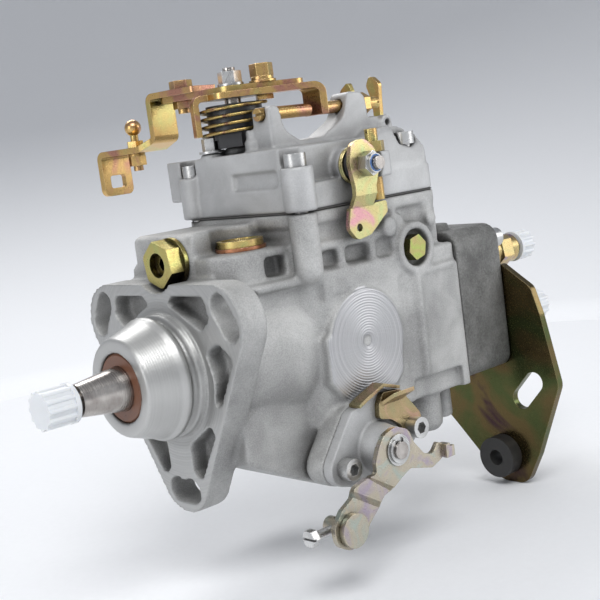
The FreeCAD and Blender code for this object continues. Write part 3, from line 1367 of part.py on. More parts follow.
def stop_spring():
    """The lever's flat coil behind the boot, two close turns."""
    y = cover_near - 1.0
    radius = 7.9
    wire = 0.65
    turns = [Part.makeTorus(radius, wire, Vector(stop_x, y - 1.2 * i, stop_z), Vector(0, 1, 0)) for i in range(2)]
    dx, dz = at_angle(radius, 225)
    foot = rod_y(wire, y - 1.2, cover_near - seat_fit, stop_x + dx, stop_z + dz)
    return joined(turns + [foot])


def cold_start_cover():
    near = timing_cover_y
    base = belt([(50.1, -51.6, 8.4), (timing_x, timing_z - 2.0, 16.6), (93.2, -43.5, 8.4), (78.0, -31.0, 9.2),
                 (62.0, -34.0, 6.8)], "y", near - cold_cover_thickness, cold_cover_thickness)
    shoulder = Part.makeCone(cold_boss_radius + 1.5, cold_boss_radius, 7.9, Vector(timing_x, near - cold_cover_thickness + 0.1, timing_z),
                             Vector(0, -1, 0))
    boss = rod_y(cold_boss_radius, cold_boss_y, near - 4.0, timing_x, timing_z)
    spigot = rod_y(piston_radius - 0.1, near - 1.0, near + 4.0, timing_x, timing_z)
    body = joined([base, shoulder, boss, spigot])
    body = body.cut(rod_y(cold_shaft_radius + running_fit, cold_boss_y - 1.0, near + 6.0, timing_x, timing_z))
    for x, z in cold_screw_places:
        body = body.cut(rod_y(screw_radius + seat_fit, near - cold_cover_thickness - 1.0, near + 1.0, x, z))
    return body


def cold_start_bracket():
    """The pressed stop bracket under the rear screw: a face, a raised tab and a dark band over the cover."""
    x, z = cold_screw_places[1]
    outer = timing_cover_y - cold_cover_thickness - 3.0
    face = plate([(x + 6.5, z - 5.0, 5.0), (x + 7.0, z + 5.0, 6.0), (88.0, -24.0, 3.0), (76.5, -23.0, 2.0),
                  (73.4, -28.0, 1.0), (72.6, -34.5, 2.0), (80.0, -36.4, 3.0), (86.5, -41.0, 4.0), (88.0, -48.0, 5.0)],
                 1.0, "y", outer, 3.0)
    band = plate([(61.4, -26.6), (66.2, -24.7), (78.0, -20.6), (88.0, -23.9), (88.4, -22.4), (78.0, -19.0),
                  (65.8, -23.1), (61.0, -25.1)], 0.0, "y", outer, 7.0)
    tab = []
    for y, x0, low in ((outer + 1.0, 74.5, -29.5), (outer - 6.0, 78.0, -25.0)):
        corners = [Vector(x0, y, low), Vector(x0 + 13.5, y, low), Vector(x0 + 13.5, y, low + 1.9), Vector(x0, y, low + 1.9)]
        tab.append(Part.makePolygon(corners + [corners[0]]))
    body = joined([face, band, Part.makeLoft(tab, True, True)])
    return body.cut(rod_y(screw_radius + seat_fit, outer - 1.0, outer + 4.0, x, z))


def cold_start_shaft():
    inner_end = timing_cover_y + 7.0
    body = joined([
        rod_y(cold_shaft_radius, cold_shaft_end, inner_end, timing_x, timing_z),
        rod_y(1.8, inner_end - 1.0, inner_end + 5.0, timing_x, timing_z - 1.6),
    ])
    groove_y = cold_plate_y - cold_sheet - 1.6
    groove = rod_y(cold_shaft_radius + 1.0, groove_y, groove_y + 0.9, timing_x, timing_z)
    groove = groove.cut(rod_y(cold_shaft_radius - 0.8, groove_y - 1.0, groove_y + 2.0, timing_x, timing_z))
    return body.cut(groove)


def cold_start_lever():
    """The pressed lever: a hub plate with a hooked rear arm, and a front arm set out in two joggles."""
    outer = cold_plate_y - cold_sheet
    middle = outer - cable_drop / 2
    arm_outer = outer - cable_drop
    hub_plate = plate([
        (56.6, -50.0, 2.0), (59.8, -43.4, 4.0), (64.0, -38.6, 6.0), (71.5, -36.6, 9.0), (79.6, -40.0, 6.0),
        (82.2, -46.8, 4.0), (88.0, -53.8, 5.0), (94.0, -56.0, 4.0), (98.4, -51.4, 1.0), (101.0, -52.6, 1.0),
        (103.2, -58.0, 1.0), (98.0, -60.2, 2.0), (92.6, -62.0, 4.0), (78.0, -58.0, 5.0), (73.0, -60.0, 4.0),
        (66.0, -63.6, 0.0), (52.2, -54.5, 0.0), (56.8, -54.6, 2.0)], 2.0, "y", outer, cold_sheet)
    tip = joined([
        block(101.0, 103.8, outer - 2.4, outer + cold_sheet, -59.0, -53.0),
        block(101.0, 106.6, outer - 2.4, outer + 0.2, -59.6, -54.6),
    ])
    middle_plate = plate([(47.4, -53.2, 0.0), (39.4, -55.0, 2.0), (37.6, -57.0, 0.0), (53.2, -66.4, 0.0),
                          (56.0, -63.8, 2.0), (60.0, -62.6, 0.0)], 1.0, "y", middle, cold_sheet)
    end_plate = plate([
        (34.4, -57.4, 0.0), (27.0, -61.2, 4.0), (21.4, -67.5, 5.0), (22.4, -75.8, 6.0), (30.0, -79.6, 7.0),
        (37.8, -77.4, 6.0), (42.2, -71.5, 6.0), (48.8, -66.4, 0.0)], 1.0, "y", arm_outer, cold_sheet)
    first_web = ramp_plate((46.8, -53.4), (59.4, -63.0), (52.6, -54.8), (66.2, -63.2), middle, outer)
    second_web = ramp_plate((33.6, -57.9), (48.2, -66.9), (38.2, -56.2), (53.8, -65.8), arm_outer, middle)
    body = joined([hub_plate, tip, middle_plate, end_plate, first_web, second_web])
    body = body.cut(rod_y(cold_shaft_radius + seat_fit, outer - 1.0, cold_plate_y + 1.0, timing_x, timing_z))
    return body.cut(rod_y(cable_pin_radius + running_fit, arm_outer - 1.0, arm_outer + cold_sheet + 1.0,
                          cable_pin_x, cable_pin_z))


def ramp_plate(low_a, low_b, high_a, high_b, low_y, high_y):
    """The sloping web between two parallel sheets: a loft of its two end edges."""
    wires = []
    for a, b, y in ((low_a, low_b, low_y), (high_a, high_b, high_y)):
        corners = [Vector(a[0], y, a[1]), Vector(b[0], y, b[1]), Vector(b[0], y + cold_sheet, b[1]),
                   Vector(a[0], y + cold_sheet, a[1])]
        wires.append(Part.makePolygon(corners + [corners[0]]))
    return Part.makeLoft(wires, True, True)


def cold_start_clip():
    """The plain washer and the retaining clip on the lever's shaft."""
    washer_y = cold_plate_y - cold_sheet
    washer = rod_y(7.2, washer_y - 0.7, washer_y, timing_x, timing_z)
    washer = washer.cut(rod_y(cold_shaft_radius + seat_fit, washer_y - 2.0, washer_y + 1.0, timing_x, timing_z))
    clip_y = washer_y - 1.55
    clip = rod_y(6.0, clip_y, clip_y + 0.8, timing_x, timing_z)
    clip = clip.cut(rod_y(cold_shaft_radius - 0.78, clip_y - 1.0, clip_y + 2.0, timing_x, timing_z))
    mouth = block(timing_x - 2.6, timing_x + 2.6, clip_y - 1.0, clip_y + 2.0, timing_z, timing_z + 8.0)
    return Part.makeCompound([washer, clip.cut(mouth)])


def cable_arm_y():
    return cold_plate_y - cold_sheet - cable_drop


def cable_pin():
    """The round swivel that grips the cable: a broad disc outside the arm and a cross-drilled stem inside."""
    outer = cable_arm_y()
    disc = rod_y(cable_disc_radius, outer - 3.0, outer - joint_gap, cable_pin_x, cable_pin_z)
    stem = rod_y(cable_pin_radius, outer - 1.0, outer + cold_sheet + 0.4, cable_pin_x, cable_pin_z)
    barrel = rod_y(4.2, outer + cold_sheet + joint_gap, outer + cold_sheet + 11.0, cable_pin_x, cable_pin_z)
    body = joined([disc, stem, barrel])
    cross = rod_z(1.1, cable_pin_z - 8.0, cable_pin_z + 8.0, cable_pin_x, outer + cold_sheet + 6.0)
    thread = rod_x(2.0 + seat_fit, cable_pin_x - 8.0, cable_pin_x, outer + cold_sheet + 6.0, cable_pin_z)
    return body.cut(joined([cross, thread]))


def cable_screw():
    y = cable_arm_y() + cold_sheet + 6.0
    x = cable_pin_x
    shank = rod_x(2.0, x - 14.0, x - 1.2, y, cable_pin_z)
    head = hex_bar(7.0, x - 17.4, 3.4, "x", y, cable_pin_z, 0.0)
    slot = block(x - 18.0, x - 16.2, y - 5.0, y + 5.0, cable_pin_z - 0.5, cable_pin_z + 0.5)
    return joined([shank, head]).cut(slot)


def rear_bracket():
    outline = [
        (-37.0, 17.0, 1.5), (-45.4, 18.3, 3.0), (-53.3, 12.6, 6.0), (-62.6, 6.0, 6.0), (-66.8, -8.4, 10.0),
        (-74.0, -45.7, 8.0), (-57.2, -83.8, 8.0), (-47.5, -101.0, 9.0), (-30.6, -101.0, 9.0), (-4.8, -73.1, 12.0),
        (19.5, -48.0, 10.0), (20.0, -29.8, 5.0), (6.0, -29.6, 3.0), (5.0, -44.0, 3.0), (-17.5, -44.0, 4.0),
        (-23.0, -24.5, 3.0), (-43.0, -21.5, 4.0), (-43.2, -3.0, 5.0), (-35.0, 3.5, 3.0),
    ]
    body = plate(outline, 4.0, "x", head_rear, bracket_thickness)
    slot = belt([(-49.5, -54.0, 5.5), (-58.5, -44.6, 5.5)], "x", head_rear - 1.0, bracket_thickness + 2.0)
    body = body.cut(slot)
    body = body.cut(rod_x(bush_neck_radius + seat_fit, head_rear - 1.0, head_rear + bracket_thickness + 1.0, bush_y, bush_z))
    for y, z in bracket_screw_places + [bracket_boss_screw]:
        body = body.cut(rod_x(screw_radius + loose_fit, head_rear - 1.0, head_rear + bracket_thickness + 1.0, y, z))
    return body


def bracket_bush():
    front = head_rear - seat_fit
    rear = head_rear + bracket_thickness + seat_fit
    body = joined([
        rod_x(bush_outer_radius, front - 8.0, front, bush_y, bush_z),
        rod_x(bush_neck_radius, front - 1.0, rear + 1.0, bush_y, bush_z),
        rod_x(bush_outer_radius, rear, rear + 6.0, bush_y, bush_z),
    ])
    return body.cut(rod_x(bush_bore_radius, front - 9.0, rear + 7.0, bush_y, bush_z))


pieces = {
    "pump_housing": pump_housing,
    "shaft_seal": shaft_seal,
    "shaft_bush": shaft_bush,
    "drive_shaft": drive_shaft,
    "shaft_key": shaft_key,
    "shaft_cap": shaft_cap,
    "feed_pump_ring": feed_pump_ring,
    "feed_pump_rotor": feed_pump_rotor,
    "feed_pump_plate": feed_pump_plate,
    "governor_drive_gear": governor_drive_gear,
    "governor_axle": governor_axle,
    "flyweight_cage": flyweight_cage,
    "flyweights": flyweights,
    "governor_sleeve": governor_sleeve,
    "governor_lever": governor_lever,
    "fulcrum_bolts": fulcrum_bolts,
    "roller_ring": roller_ring,
    "rollers": rollers,
    "cam_disc": cam_disc,
    "plunger": plunger,
    "control_collar": control_collar,
    "timing_piston": timing_piston,
    "timing_spring": timing_spring,
    "timing_cover": timing_cover,
    "distributor_head": distributor_head,
    "distributor_barrel": distributor_barrel,
    "head_plugs": head_plugs,
    "valve_holders": valve_holders,
    "delivery_valves": delivery_valves,
    "valve_caps": valve_caps,
    "governor_cover": governor_cover,
    "cover_gasket": cover_gasket,
    "fixing_screws": fixing_screws,
    "inlet_washer": inlet_washer,
    "inlet_plug": inlet_plug,
    "regulating_valve": regulating_valve,
    "adjusting_screws": adjusting_screws,
    "spring_guide": spring_guide,
    "throttle_spring": throttle_spring,
    "throttle_shaft": throttle_shaft,
    "throttle_lever": throttle_lever,
    "throttle_strap": throttle_strap,
    "throttle_nut": throttle_nut,
    "strap_bolt": strap_bolt,
    "ball_stud": ball_stud,
    "cable_bracket": cable_bracket,
    "stop_shaft": stop_shaft,
    "stop_lever": stop_lever,
    "stop_nut": stop_nut,
    "stop_boot": stop_boot,
    "stop_spring": stop_spring,
    "cold_start_cover": cold_start_cover,
    "cold_start_bracket": cold_start_bracket,
    "cold_start_shaft": cold_start_shaft,
    "cold_start_lever": cold_start_lever,
    "cold_start_clip": cold_start_clip,
    "cable_pin": cable_pin,
    "cable_screw": cable_screw,
    "rear_bracket": rear_bracket,
    "bracket_bush": bracket_bush,
}

os.makedirs("parts", exist_ok=True)
for name, make in pieces.items():
    shape = make()
    shape.exportStep("parts/" + name + ".step")
    box = shape.BoundBox
    print(name, len(shape.Solids), "valid" if shape.isValid() else "INVALID", round(shape.Volume, 1),
          "x %.1f..%.1f y %.1f..%.1f z %.1f..%.1f" % (box.XMin, box.XMax, box.YMin, box.YMax, box.ZMin, box.ZMax))
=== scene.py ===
# %% [markdown]
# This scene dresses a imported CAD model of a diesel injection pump.
# The CAD nodes already have the right shapes and places, so most of the work here is finish:
# castings that look cast, machined faces with tool marks, plated levers, springs, threads and light.
# All lengths are in metres, in the frame that the CAD uses.

import bmesh
import bpy
import math
from mathutils import Matrix, Vector


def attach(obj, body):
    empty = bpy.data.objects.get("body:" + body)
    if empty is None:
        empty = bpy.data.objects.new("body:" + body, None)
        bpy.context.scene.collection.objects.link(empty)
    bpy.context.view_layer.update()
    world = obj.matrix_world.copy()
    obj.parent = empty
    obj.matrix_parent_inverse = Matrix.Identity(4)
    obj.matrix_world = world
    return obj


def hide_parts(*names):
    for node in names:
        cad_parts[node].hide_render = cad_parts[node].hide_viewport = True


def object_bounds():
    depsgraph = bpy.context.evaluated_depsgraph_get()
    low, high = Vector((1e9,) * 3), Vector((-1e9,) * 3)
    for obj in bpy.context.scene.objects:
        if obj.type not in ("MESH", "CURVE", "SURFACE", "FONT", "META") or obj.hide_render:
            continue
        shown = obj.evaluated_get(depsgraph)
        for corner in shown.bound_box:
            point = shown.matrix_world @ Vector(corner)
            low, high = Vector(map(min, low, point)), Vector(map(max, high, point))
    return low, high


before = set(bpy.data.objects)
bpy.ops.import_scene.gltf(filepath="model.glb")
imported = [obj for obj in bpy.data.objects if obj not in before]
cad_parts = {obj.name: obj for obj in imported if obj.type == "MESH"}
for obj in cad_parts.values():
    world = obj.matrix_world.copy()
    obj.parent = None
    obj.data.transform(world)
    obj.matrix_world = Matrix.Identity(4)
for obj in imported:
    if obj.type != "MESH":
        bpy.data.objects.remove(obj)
cad_box = [list(corner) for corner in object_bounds()]
MM = 0.001


def new_object(name, data):
    """Puts a new object that holds the given data in the scene."""
    made = bpy.data.objects.new(name, data)
    bpy.context.scene.collection.objects.link(made)
    return made


print(len(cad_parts), "nodes, box", [[round(v, 4) for v in corner] for corner in cad_box])

# %% [markdown]
# The photograph looks at the pump from in front of the nose, a little above the shaft, and the camera
# leans to one side, so that the shaft runs downhill. A camera is placed by three turns round the
# point that it looks at: azimuth, elevation and roll. Writing the matrix from its own three axes
# keeps the roll exact, which a Track To constraint can't do.

# %% Camera at the photograph's place
VIEW_AZIMUTH = math.radians(-41.40)
VIEW_ELEVATION = math.radians(7.66)
VIEW_ROLL = math.radians(-7.70)
VIEW_DISTANCE = 0.55535
VIEW_TARGET = Vector((0.08161, -0.00270, 0.01862))
LENS_MM = 67.87
SENSOR_MM = 36.0


def photo_camera():
    level = math.cos(VIEW_ELEVATION)
    back = Vector((math.sin(VIEW_AZIMUTH) * level, -math.cos(VIEW_AZIMUTH) * level, math.sin(VIEW_ELEVATION)))
    right = (-back).cross(Vector((0, 0, 1))).normalized()
    up = right.cross(-back)
    rolled_right = right * math.cos(VIEW_ROLL) + up * math.sin(VIEW_ROLL)
    rolled_up = up * math.cos(VIEW_ROLL) - right * math.sin(VIEW_ROLL)
    camera = new_object("photo_camera", bpy.data.cameras.new("photo_camera"))
    turn = Matrix((rolled_right, rolled_up, back)).transposed().to_4x4()
    camera.matrix_world = Matrix.Translation(VIEW_TARGET + back * VIEW_DISTANCE) @ turn
    camera.data.lens = LENS_MM
    camera.data.sensor_width = SENSOR_MM
    camera.data.clip_start = 10 * MM
    bpy.context.scene.camera = camera
    return camera


camera = photo_camera()
print("camera at", [round(v, 3) for v in camera.matrix_world.translation])

# %% [markdown]
# Every finish below is a Principled BSDF whose colour, roughness and bump come from small groups.
# A group is built once and placed in many materials, each time with its own numbers. Clicking such
# graphs together by hand hides the numbers, so they are written, with a few short helpers: one adds
# a node, the next ones add the kinds that come up most, and the last two make and place a group.

# %% Helpers for shader nodes
SOCKET_KINDS = {"value": "NodeSocketFloat", "colour": "NodeSocketColor", "vector": "NodeSocketVector"}
MIX_SHARE, MIX_FIRST, MIX_SECOND, MIX_RESULT = 0, 6, 7, 2
GIVES_NUMBER = ("DOT_PRODUCT", "DISTANCE", "LENGTH")


def add(tree, kind, inputs=None, **settings):
    """Adds a node; inputs maps a socket's name or number to a value or to another node's output."""
    node = tree.nodes.new(kind)
    for name, value in settings.items():
        setattr(node, name, value)
    for key, value in (inputs or {}).items():
        if isinstance(value, bpy.types.NodeSocket):
            tree.links.new(value, node.inputs[key])
        else:
            node.inputs[key].default_value = value
    return node


def maths(tree, operation, first, second=0.0, third=0.0, clamp=False):
    inputs = {0: first, 1: second, 2: third}
    return add(tree, "ShaderNodeMath", inputs, operation=operation, use_clamp=clamp).outputs[0]


def vector_maths(tree, operation, first, second=(0.0, 0.0, 0.0)):
    node = add(tree, "ShaderNodeVectorMath", {0: first, 1: second}, operation=operation)
    return node.outputs["Value" if operation in GIVES_NUMBER else "Vector"]


def mixed(tree, share, first, second):
    inputs = {MIX_SHARE: share, MIX_FIRST: first, MIX_SECOND: second}
    return add(tree, "ShaderNodeMix", inputs, data_type="RGBA").outputs[MIX_RESULT]


def ranged(tree, value, low, high, new_low=0.0, new_high=1.0):
    """Stretches the range from low to high over a new range, and stops at its ends."""
    return add(tree, "ShaderNodeMapRange", {0: value, 1: low, 2: high, 3: new_low, 4: new_high}).outputs[0]


def own_place(tree):
    """The point in the object's own frame, so that a texture moves with its part."""
    return add(tree, "ShaderNodeTexCoord").outputs["Object"]


def noise(tree, point, scale, detail, **more):
    inputs = {"Vector": point, "Scale": scale, "Detail": detail, **more}
    return add(tree, "ShaderNodeTexNoise", inputs).outputs["Fac"]


def line_noise(tree, distance, scale):
    """Noise that changes along one distance alone, as tool marks do."""
    inputs = {"W": distance, "Scale": scale, "Detail": 3.0}
    return add(tree, "ShaderNodeTexNoise", inputs, noise_dimensions="1D").outputs["Fac"]


def new_group(name, inputs, outputs):
    group = bpy.data.node_groups.new(name, "ShaderNodeTree")
    for socket, kind in inputs.items():
        group.interface.new_socket(socket, in_out="INPUT", socket_type=SOCKET_KINDS[kind])
    for socket, kind in outputs.items():
        group.interface.new_socket(socket, in_out="OUTPUT", socket_type=SOCKET_KINDS[kind])
    return group, group.nodes.new("NodeGroupInput").outputs, group.nodes.new("NodeGroupOutput").inputs


def place(tree, group, inputs):
    return add(tree, "ShaderNodeGroup", inputs, node_tree=group).outputs


print("shader helpers ready")

# %% [markdown]
# Real edges are never perfectly sharp, and handling rubs them brighter than the faces. Cutting true
# rounds on every solid would be heavy, while the Bevel node looks round each point and gives the
# normal that a rounded edge would have. Where that normal differs from the true one there is an
# edge, so the same node also gives a mask. The finishes lighten their colour by that mask, which is
# partly rubbed wear and partly a painted highlight.

# %% Group: rounded edges, and their mask for wear and painted highlight
def make_edge_group():
    group, given, result = new_group("edge_wear_and_highlight", {"Radius": "value", "Gain": "value"},
                                     {"Mask": "value", "Normal": "vector"})
    rounded = add(group, "ShaderNodeBevel", {"Radius": given["Radius"]}, samples=4).outputs["Normal"]
    flat = add(group, "ShaderNodeNewGeometry").outputs["Normal"]
    difference = maths(group, "SUBTRACT", 1.0, vector_maths(group, "DOT_PRODUCT", rounded, flat))
    group.links.new(maths(group, "MULTIPLY", difference, given["Gain"], clamp=True), result["Mask"])
    group.links.new(rounded, result["Normal"])
    return group


edge_wear_and_highlight = make_edge_group()
print("group", edge_wear_and_highlight.name)

# %% [markdown]
# Shade falls where a casting is hollow, and here it is painted into the colour. Painting it as a
# texture would tie it to one shape, so Ambient Occlusion measures how closed in a point is. A little
# noise breaks its smooth edge, and the result darkens whatever colour goes in: painted shade.

# %% Group: painted shade in the hollows
def make_grime_group():
    group, given, result = new_group(
        "painted_hollow_shade", {"Colour": "colour", "PaintedShade": "colour", "Reach": "value", "Amount": "value"},
        {"Colour": "colour"})
    openness = add(group, "ShaderNodeAmbientOcclusion", {"Distance": given["Reach"]}, samples=6).outputs["AO"]
    patches = noise(group, own_place(group), 90.0, 4.0)
    hollow = maths(group, "SUBTRACT", 1.0, openness)
    broken = maths(group, "MULTIPLY", hollow, maths(group, "ADD", patches, 0.55))
    mask = maths(group, "MULTIPLY", broken, given["Amount"], clamp=True)
    group.links.new(mixed(group, mask, given["Colour"], given["PaintedShade"]), result["Colour"])
    return group


painted_hollow_shade = make_grime_group()
print("group", painted_hollow_shade.name)

# %% [markdown]
# A casting's skin has two scales. Clouds a few centimetres wide are where the metal cooled and was
# blasted differently, and the fine grain under a millimetre is the sand or the shot.
# One group makes both from the point's own place, so that they don't swim when a part moves.

# %% Group: cast skin
def make_cast_group():
    group, given, result = new_group(
        "cast_skin", {"Light": "colour", "Dark": "colour", "Grain": "value", "Clouds": "value"},
        {"Colour": "colour", "Roughness": "value", "Height": "value"})
    point = own_place(group)
    clouds = noise(group, point, given["Clouds"], 5.0, Roughness=0.6, Distortion=0.3)
    grain = noise(group, point, given["Grain"], 4.0, Roughness=0.65)
    pits = add(group, "ShaderNodeTexVoronoi", {"Vector": point, "Scale": given["Grain"]}, feature="F1")
    speckle = ranged(group, grain, 0.3, 0.7, -0.30, 0.30)
    share = maths(group, "ADD", ranged(group, clouds, 0.35, 0.68), speckle, clamp=True)
    group.links.new(mixed(group, share, given["Dark"], given["Light"]), result["Colour"])
    group.links.new(ranged(group, grain, 0.3, 0.7, 0.62, 0.44), result["Roughness"])
    group.links.new(maths(group, "MULTIPLY_ADD", pits.outputs["Distance"], 0.35, grain), result["Height"])
    return group


cast_skin = make_cast_group()
print("group", cast_skin.name)

# %% [markdown]
# A cutter on a lathe leaves fine rings round its axis. The distance from that axis, turned into a
# wave, gives them. The axis comes in as a centre and a mask: a zero in the mask drops the direction
# that the axis points along. A ready-made Wave texture would need its own turned coordinates.

# %% Group: turned rings
def make_ring_group():
    group, given, result = new_group(
        "turned_rings", {"Centre": "vector", "Across": "vector", "Pitch": "value"},
        {"Height": "value", "Tone": "value"})
    offset = vector_maths(group, "SUBTRACT", own_place(group), given["Centre"])
    radius = vector_maths(group, "LENGTH", vector_maths(group, "MULTIPLY", offset, given["Across"]))
    turns = maths(group, "DIVIDE", radius, given["Pitch"])
    wave = maths(group, "SINE", maths(group, "MULTIPLY", turns, 2 * math.pi))
    group.links.new(maths(group, "MULTIPLY_ADD", wave, 0.5, 0.5), result["Height"])
    group.links.new(line_noise(group, turns, 0.9), result["Tone"])
    return group


turned_rings = make_ring_group()
print("group", turned_rings.name)

# %% [markdown]
# Only some faces of a casting are machined. Giving them a second material would need their faces
# picked by hand. Here a face is picked out by where it lies and which way it looks: the point's
# distance from the face's plane must be small, and its normal must point along.

# %% Group: one machined face
def make_face_group():
    group, given, result = new_group(
        "face_mask", {"Along": "vector", "Level": "value", "Reach": "value", "Centre": "vector",
                      "Radius": "value", "Facing": "value"}, {"Mask": "value"})
    point = own_place(group)
    normal = add(group, "ShaderNodeNewGeometry").outputs["Normal"]
    height = vector_maths(group, "DOT_PRODUCT", point, given["Along"])
    near = maths(group, "COMPARE", height, given["Level"], given["Reach"])
    facing = vector_maths(group, "DOT_PRODUCT", normal, given["Along"])
    square = maths(group, "GREATER_THAN", facing, given["Facing"])
    away = vector_maths(group, "DISTANCE", point, given["Centre"])
    inside = maths(group, "LESS_THAN", away, given["Radius"])
    group.links.new(maths(group, "MULTIPLY", maths(group, "MULTIPLY", near, square), inside), result["Mask"])
    return group


face_mask = make_face_group()
print("group", face_mask.name)

# %% [markdown]
# Yellow passivated zinc is a clear chromate film over plating. Its thickness wanders, so the gold
# drifts to green and to pink or violet. Broad noise picks between three colours, which keeps each
# one under control, and a fine noise adds the grain of the sheet under the film.

# %% Group: chromate bloom
def make_bloom_group():
    group, given, result = new_group(
        "chromate_bloom", {"Gold": "colour", "Green": "colour", "Violet": "colour", "Scale": "value",
                           "Shift": "value"}, {"Colour": "colour", "Roughness": "value", "Height": "value"})
    point = own_place(group)
    broad = noise(group, point, given["Scale"], 3.0, Distortion=1.2)
    film = maths(group, "ADD", broad, given["Shift"])
    with_green = mixed(group, ranged(group, film, 0.52, 0.66), given["Gold"], given["Green"])
    with_violet = mixed(group, ranged(group, film, 0.46, 0.34), with_green, given["Violet"])
    fine = noise(group, point, 1400.0, 3.0)
    group.links.new(with_violet, result["Colour"])
    group.links.new(ranged(group, fine, 0.3, 0.7, 0.24, 0.38), result["Roughness"])
    group.links.new(fine, result["Height"])
    return group


chromate_bloom = make_bloom_group()
print("group", chromate_bloom.name)

# %% [markdown]
# All finishes start from an empty material and end alike: a colour, a roughness and a bump that
# roughens the rounded normal. Two helpers take up that start and that end.

# %% Start and end of a finish
def new_material(name, metallic):
    material = bpy.data.materials.new(name)
    material.use_nodes = True
    shader = material.node_tree.nodes["Principled BSDF"]
    shader.inputs["Metallic"].default_value = metallic
    return material, material.node_tree, shader


def opaque(colour):
    """A colour as a socket takes it, with its fourth number for no see-through."""
    return (*colour, 1.0)


def dress(tree, shader, colour, roughness, height, normal, strength, depth):
    bump = add(tree, "ShaderNodeBump", {"Strength": strength, "Distance": depth, "Height": height,
                                        "Normal": normal})
    tree.links.new(colour, shader.inputs["Base Color"])
    tree.links.new(roughness, shader.inputs["Roughness"])
    tree.links.new(bump.outputs["Normal"], shader.inputs["Normal"])


print("finish helpers ready")

# %% [markdown]
# The castings come first. Their colour is the cast skin, darkened in the hollows with painted shade
# and lightened a little along the edges by wear and a painted highlight. A list of machined faces,
# each a plane or a round land, swaps in a smoother and more metallic surface with turned rings.

# %% Cast finishes
# Edge colour for rubbed wear and a painted highlight, then the colour and reach of the painted shade in
# hollows.
CAST_EDGE_WEAR_AND_HIGHLIGHT = opaque((0.66, 0.66, 0.65))
CAST_PAINTED_SHADE = opaque((0.040, 0.038, 0.034))
CAST_EDGE_RADIUS = 0.9 * MM
PAINTED_SHADE_REACH = 10 * MM
LAND_SMOOTHER = -0.14
LAND_METAL = 0.35


def cast_finish(name, light, dark, grain=1500.0, clouds=28.0, bump=0.25, depth=0.24 * MM, metallic=0.35,
                painted_shade=0.75, lands=()):
    """A cast finish; each land is a machined place with its mask, its rings and its two colours."""
    material, tree, shader = new_material(name, metallic)
    skin = place(tree, cast_skin, {"Light": opaque(light), "Dark": opaque(dark), "Grain": grain,
                                   "Clouds": clouds})
    edge = place(tree, edge_wear_and_highlight, {"Radius": CAST_EDGE_RADIUS, "Gain": 2.2})
    # Edges lightened: partly rubbed wear, partly a painted highlight.
    colour = mixed(tree, maths(tree, "MULTIPLY", edge["Mask"], 0.55), skin["Colour"], CAST_EDGE_WEAR_AND_HIGHLIGHT)
    rough = skin["Roughness"]
    height = maths(tree, "MULTIPLY", skin["Height"], bump)
    metal = metallic
    for land in lands:
        mask = place(tree, face_mask, land["mask"])["Mask"]
        turned = place(tree, turned_rings, land["rings"])
        satin = mixed(tree, turned["Tone"], opaque(land["dark"]), opaque(land["light"]))
        marks = maths(tree, "MULTIPLY", turned["Height"], land["marks"])
        colour = mixed(tree, mask, colour, satin)
        rough = maths(tree, "MULTIPLY_ADD", mask, LAND_SMOOTHER, rough)
        height = maths(tree, "MULTIPLY_ADD", mask, maths(tree, "SUBTRACT", marks, height), height)
        metal = maths(tree, "MULTIPLY_ADD", mask, LAND_METAL, metal)
    if lands:
        tree.links.new(metal, shader.inputs["Metallic"])
    # Hollows darkened with painted shade.
    shaded = place(tree, painted_hollow_shade, {"Colour": colour, "PaintedShade": CAST_PAINTED_SHADE, "Reach": PAINTED_SHADE_REACH,
                                       "Amount": painted_shade})
    dress(tree, shader, shaded["Colour"], rough, height, edge["Normal"], 0.7, depth)
    return material


print("cast finish ready")

# %% [markdown]
# Three places of the housing are machined: the flange's front face, the turned hub with its pilot,
# and the round pad on the near side. The rings of the first two lie round the shaft's axis, those
# of the pad round its own centre. The hub's rings also follow its length, because it is a cone.

# %% The three castings' looks
ORIGIN = (0.0, 0.0, 0.0)
AHEAD = (-1.0, 0.0, 0.0)
NEAR_SIDE = (0.0, -1.0, 0.0)
FACE_REACH = 0.8 * MM
SQUARE_ON = 0.85
ANY_WAY = -2.0
PAD_CENTRE = (82 * MM, -46.5 * MM, 0.0)
flange_land = {
    "mask": {"Along": AHEAD, "Level": 0.0, "Reach": FACE_REACH, "Centre": ORIGIN, "Radius": 80 * MM,
             "Facing": SQUARE_ON},
    "rings": {"Centre": ORIGIN, "Across": (0.0, 1.0, 1.0), "Pitch": 1.3 * MM},
    "marks": 0.25, "light": (0.47, 0.47, 0.46), "dark": (0.37, 0.37, 0.365)}
hub_land = {
    "mask": {"Along": AHEAD, "Level": 14 * MM, "Reach": 13 * MM, "Centre": ORIGIN, "Radius": 60 * MM,
             "Facing": ANY_WAY},
    "rings": {"Centre": ORIGIN, "Across": (1.0, 0.4, 0.4), "Pitch": 0.9 * MM},
    "marks": 0.10, "light": (0.52, 0.52, 0.51), "dark": (0.44, 0.44, 0.43)}
pad_land = {
    "mask": {"Along": NEAR_SIDE, "Level": -PAD_CENTRE[1], "Reach": FACE_REACH, "Centre": PAD_CENTRE,
             "Radius": 34 * MM, "Facing": SQUARE_ON},
    "rings": {"Centre": PAD_CENTRE, "Across": (1.0, 0.0, 1.0), "Pitch": 1.25 * MM},
    "marks": 0.55, "light": (0.52, 0.52, 0.53), "dark": (0.36, 0.36, 0.37)}
housing_cast = cast_finish("housing_cast", (0.52, 0.52, 0.51), (0.30, 0.30, 0.295), bump=1.2,
                           depth=0.32 * MM, painted_shade=0.95, lands=(flange_land, hub_land, pad_land))
cover_cast = cast_finish("cover_cast", (0.53, 0.535, 0.535), (0.38, 0.38, 0.38), grain=2200.0, bump=0.5,
                         painted_shade=0.8)
head_cast = cast_finish("head_cast", (0.25, 0.25, 0.24), (0.12, 0.12, 0.115), grain=900.0, clouds=45.0,
                        bump=1.8, depth=0.6 * MM, metallic=0.5)
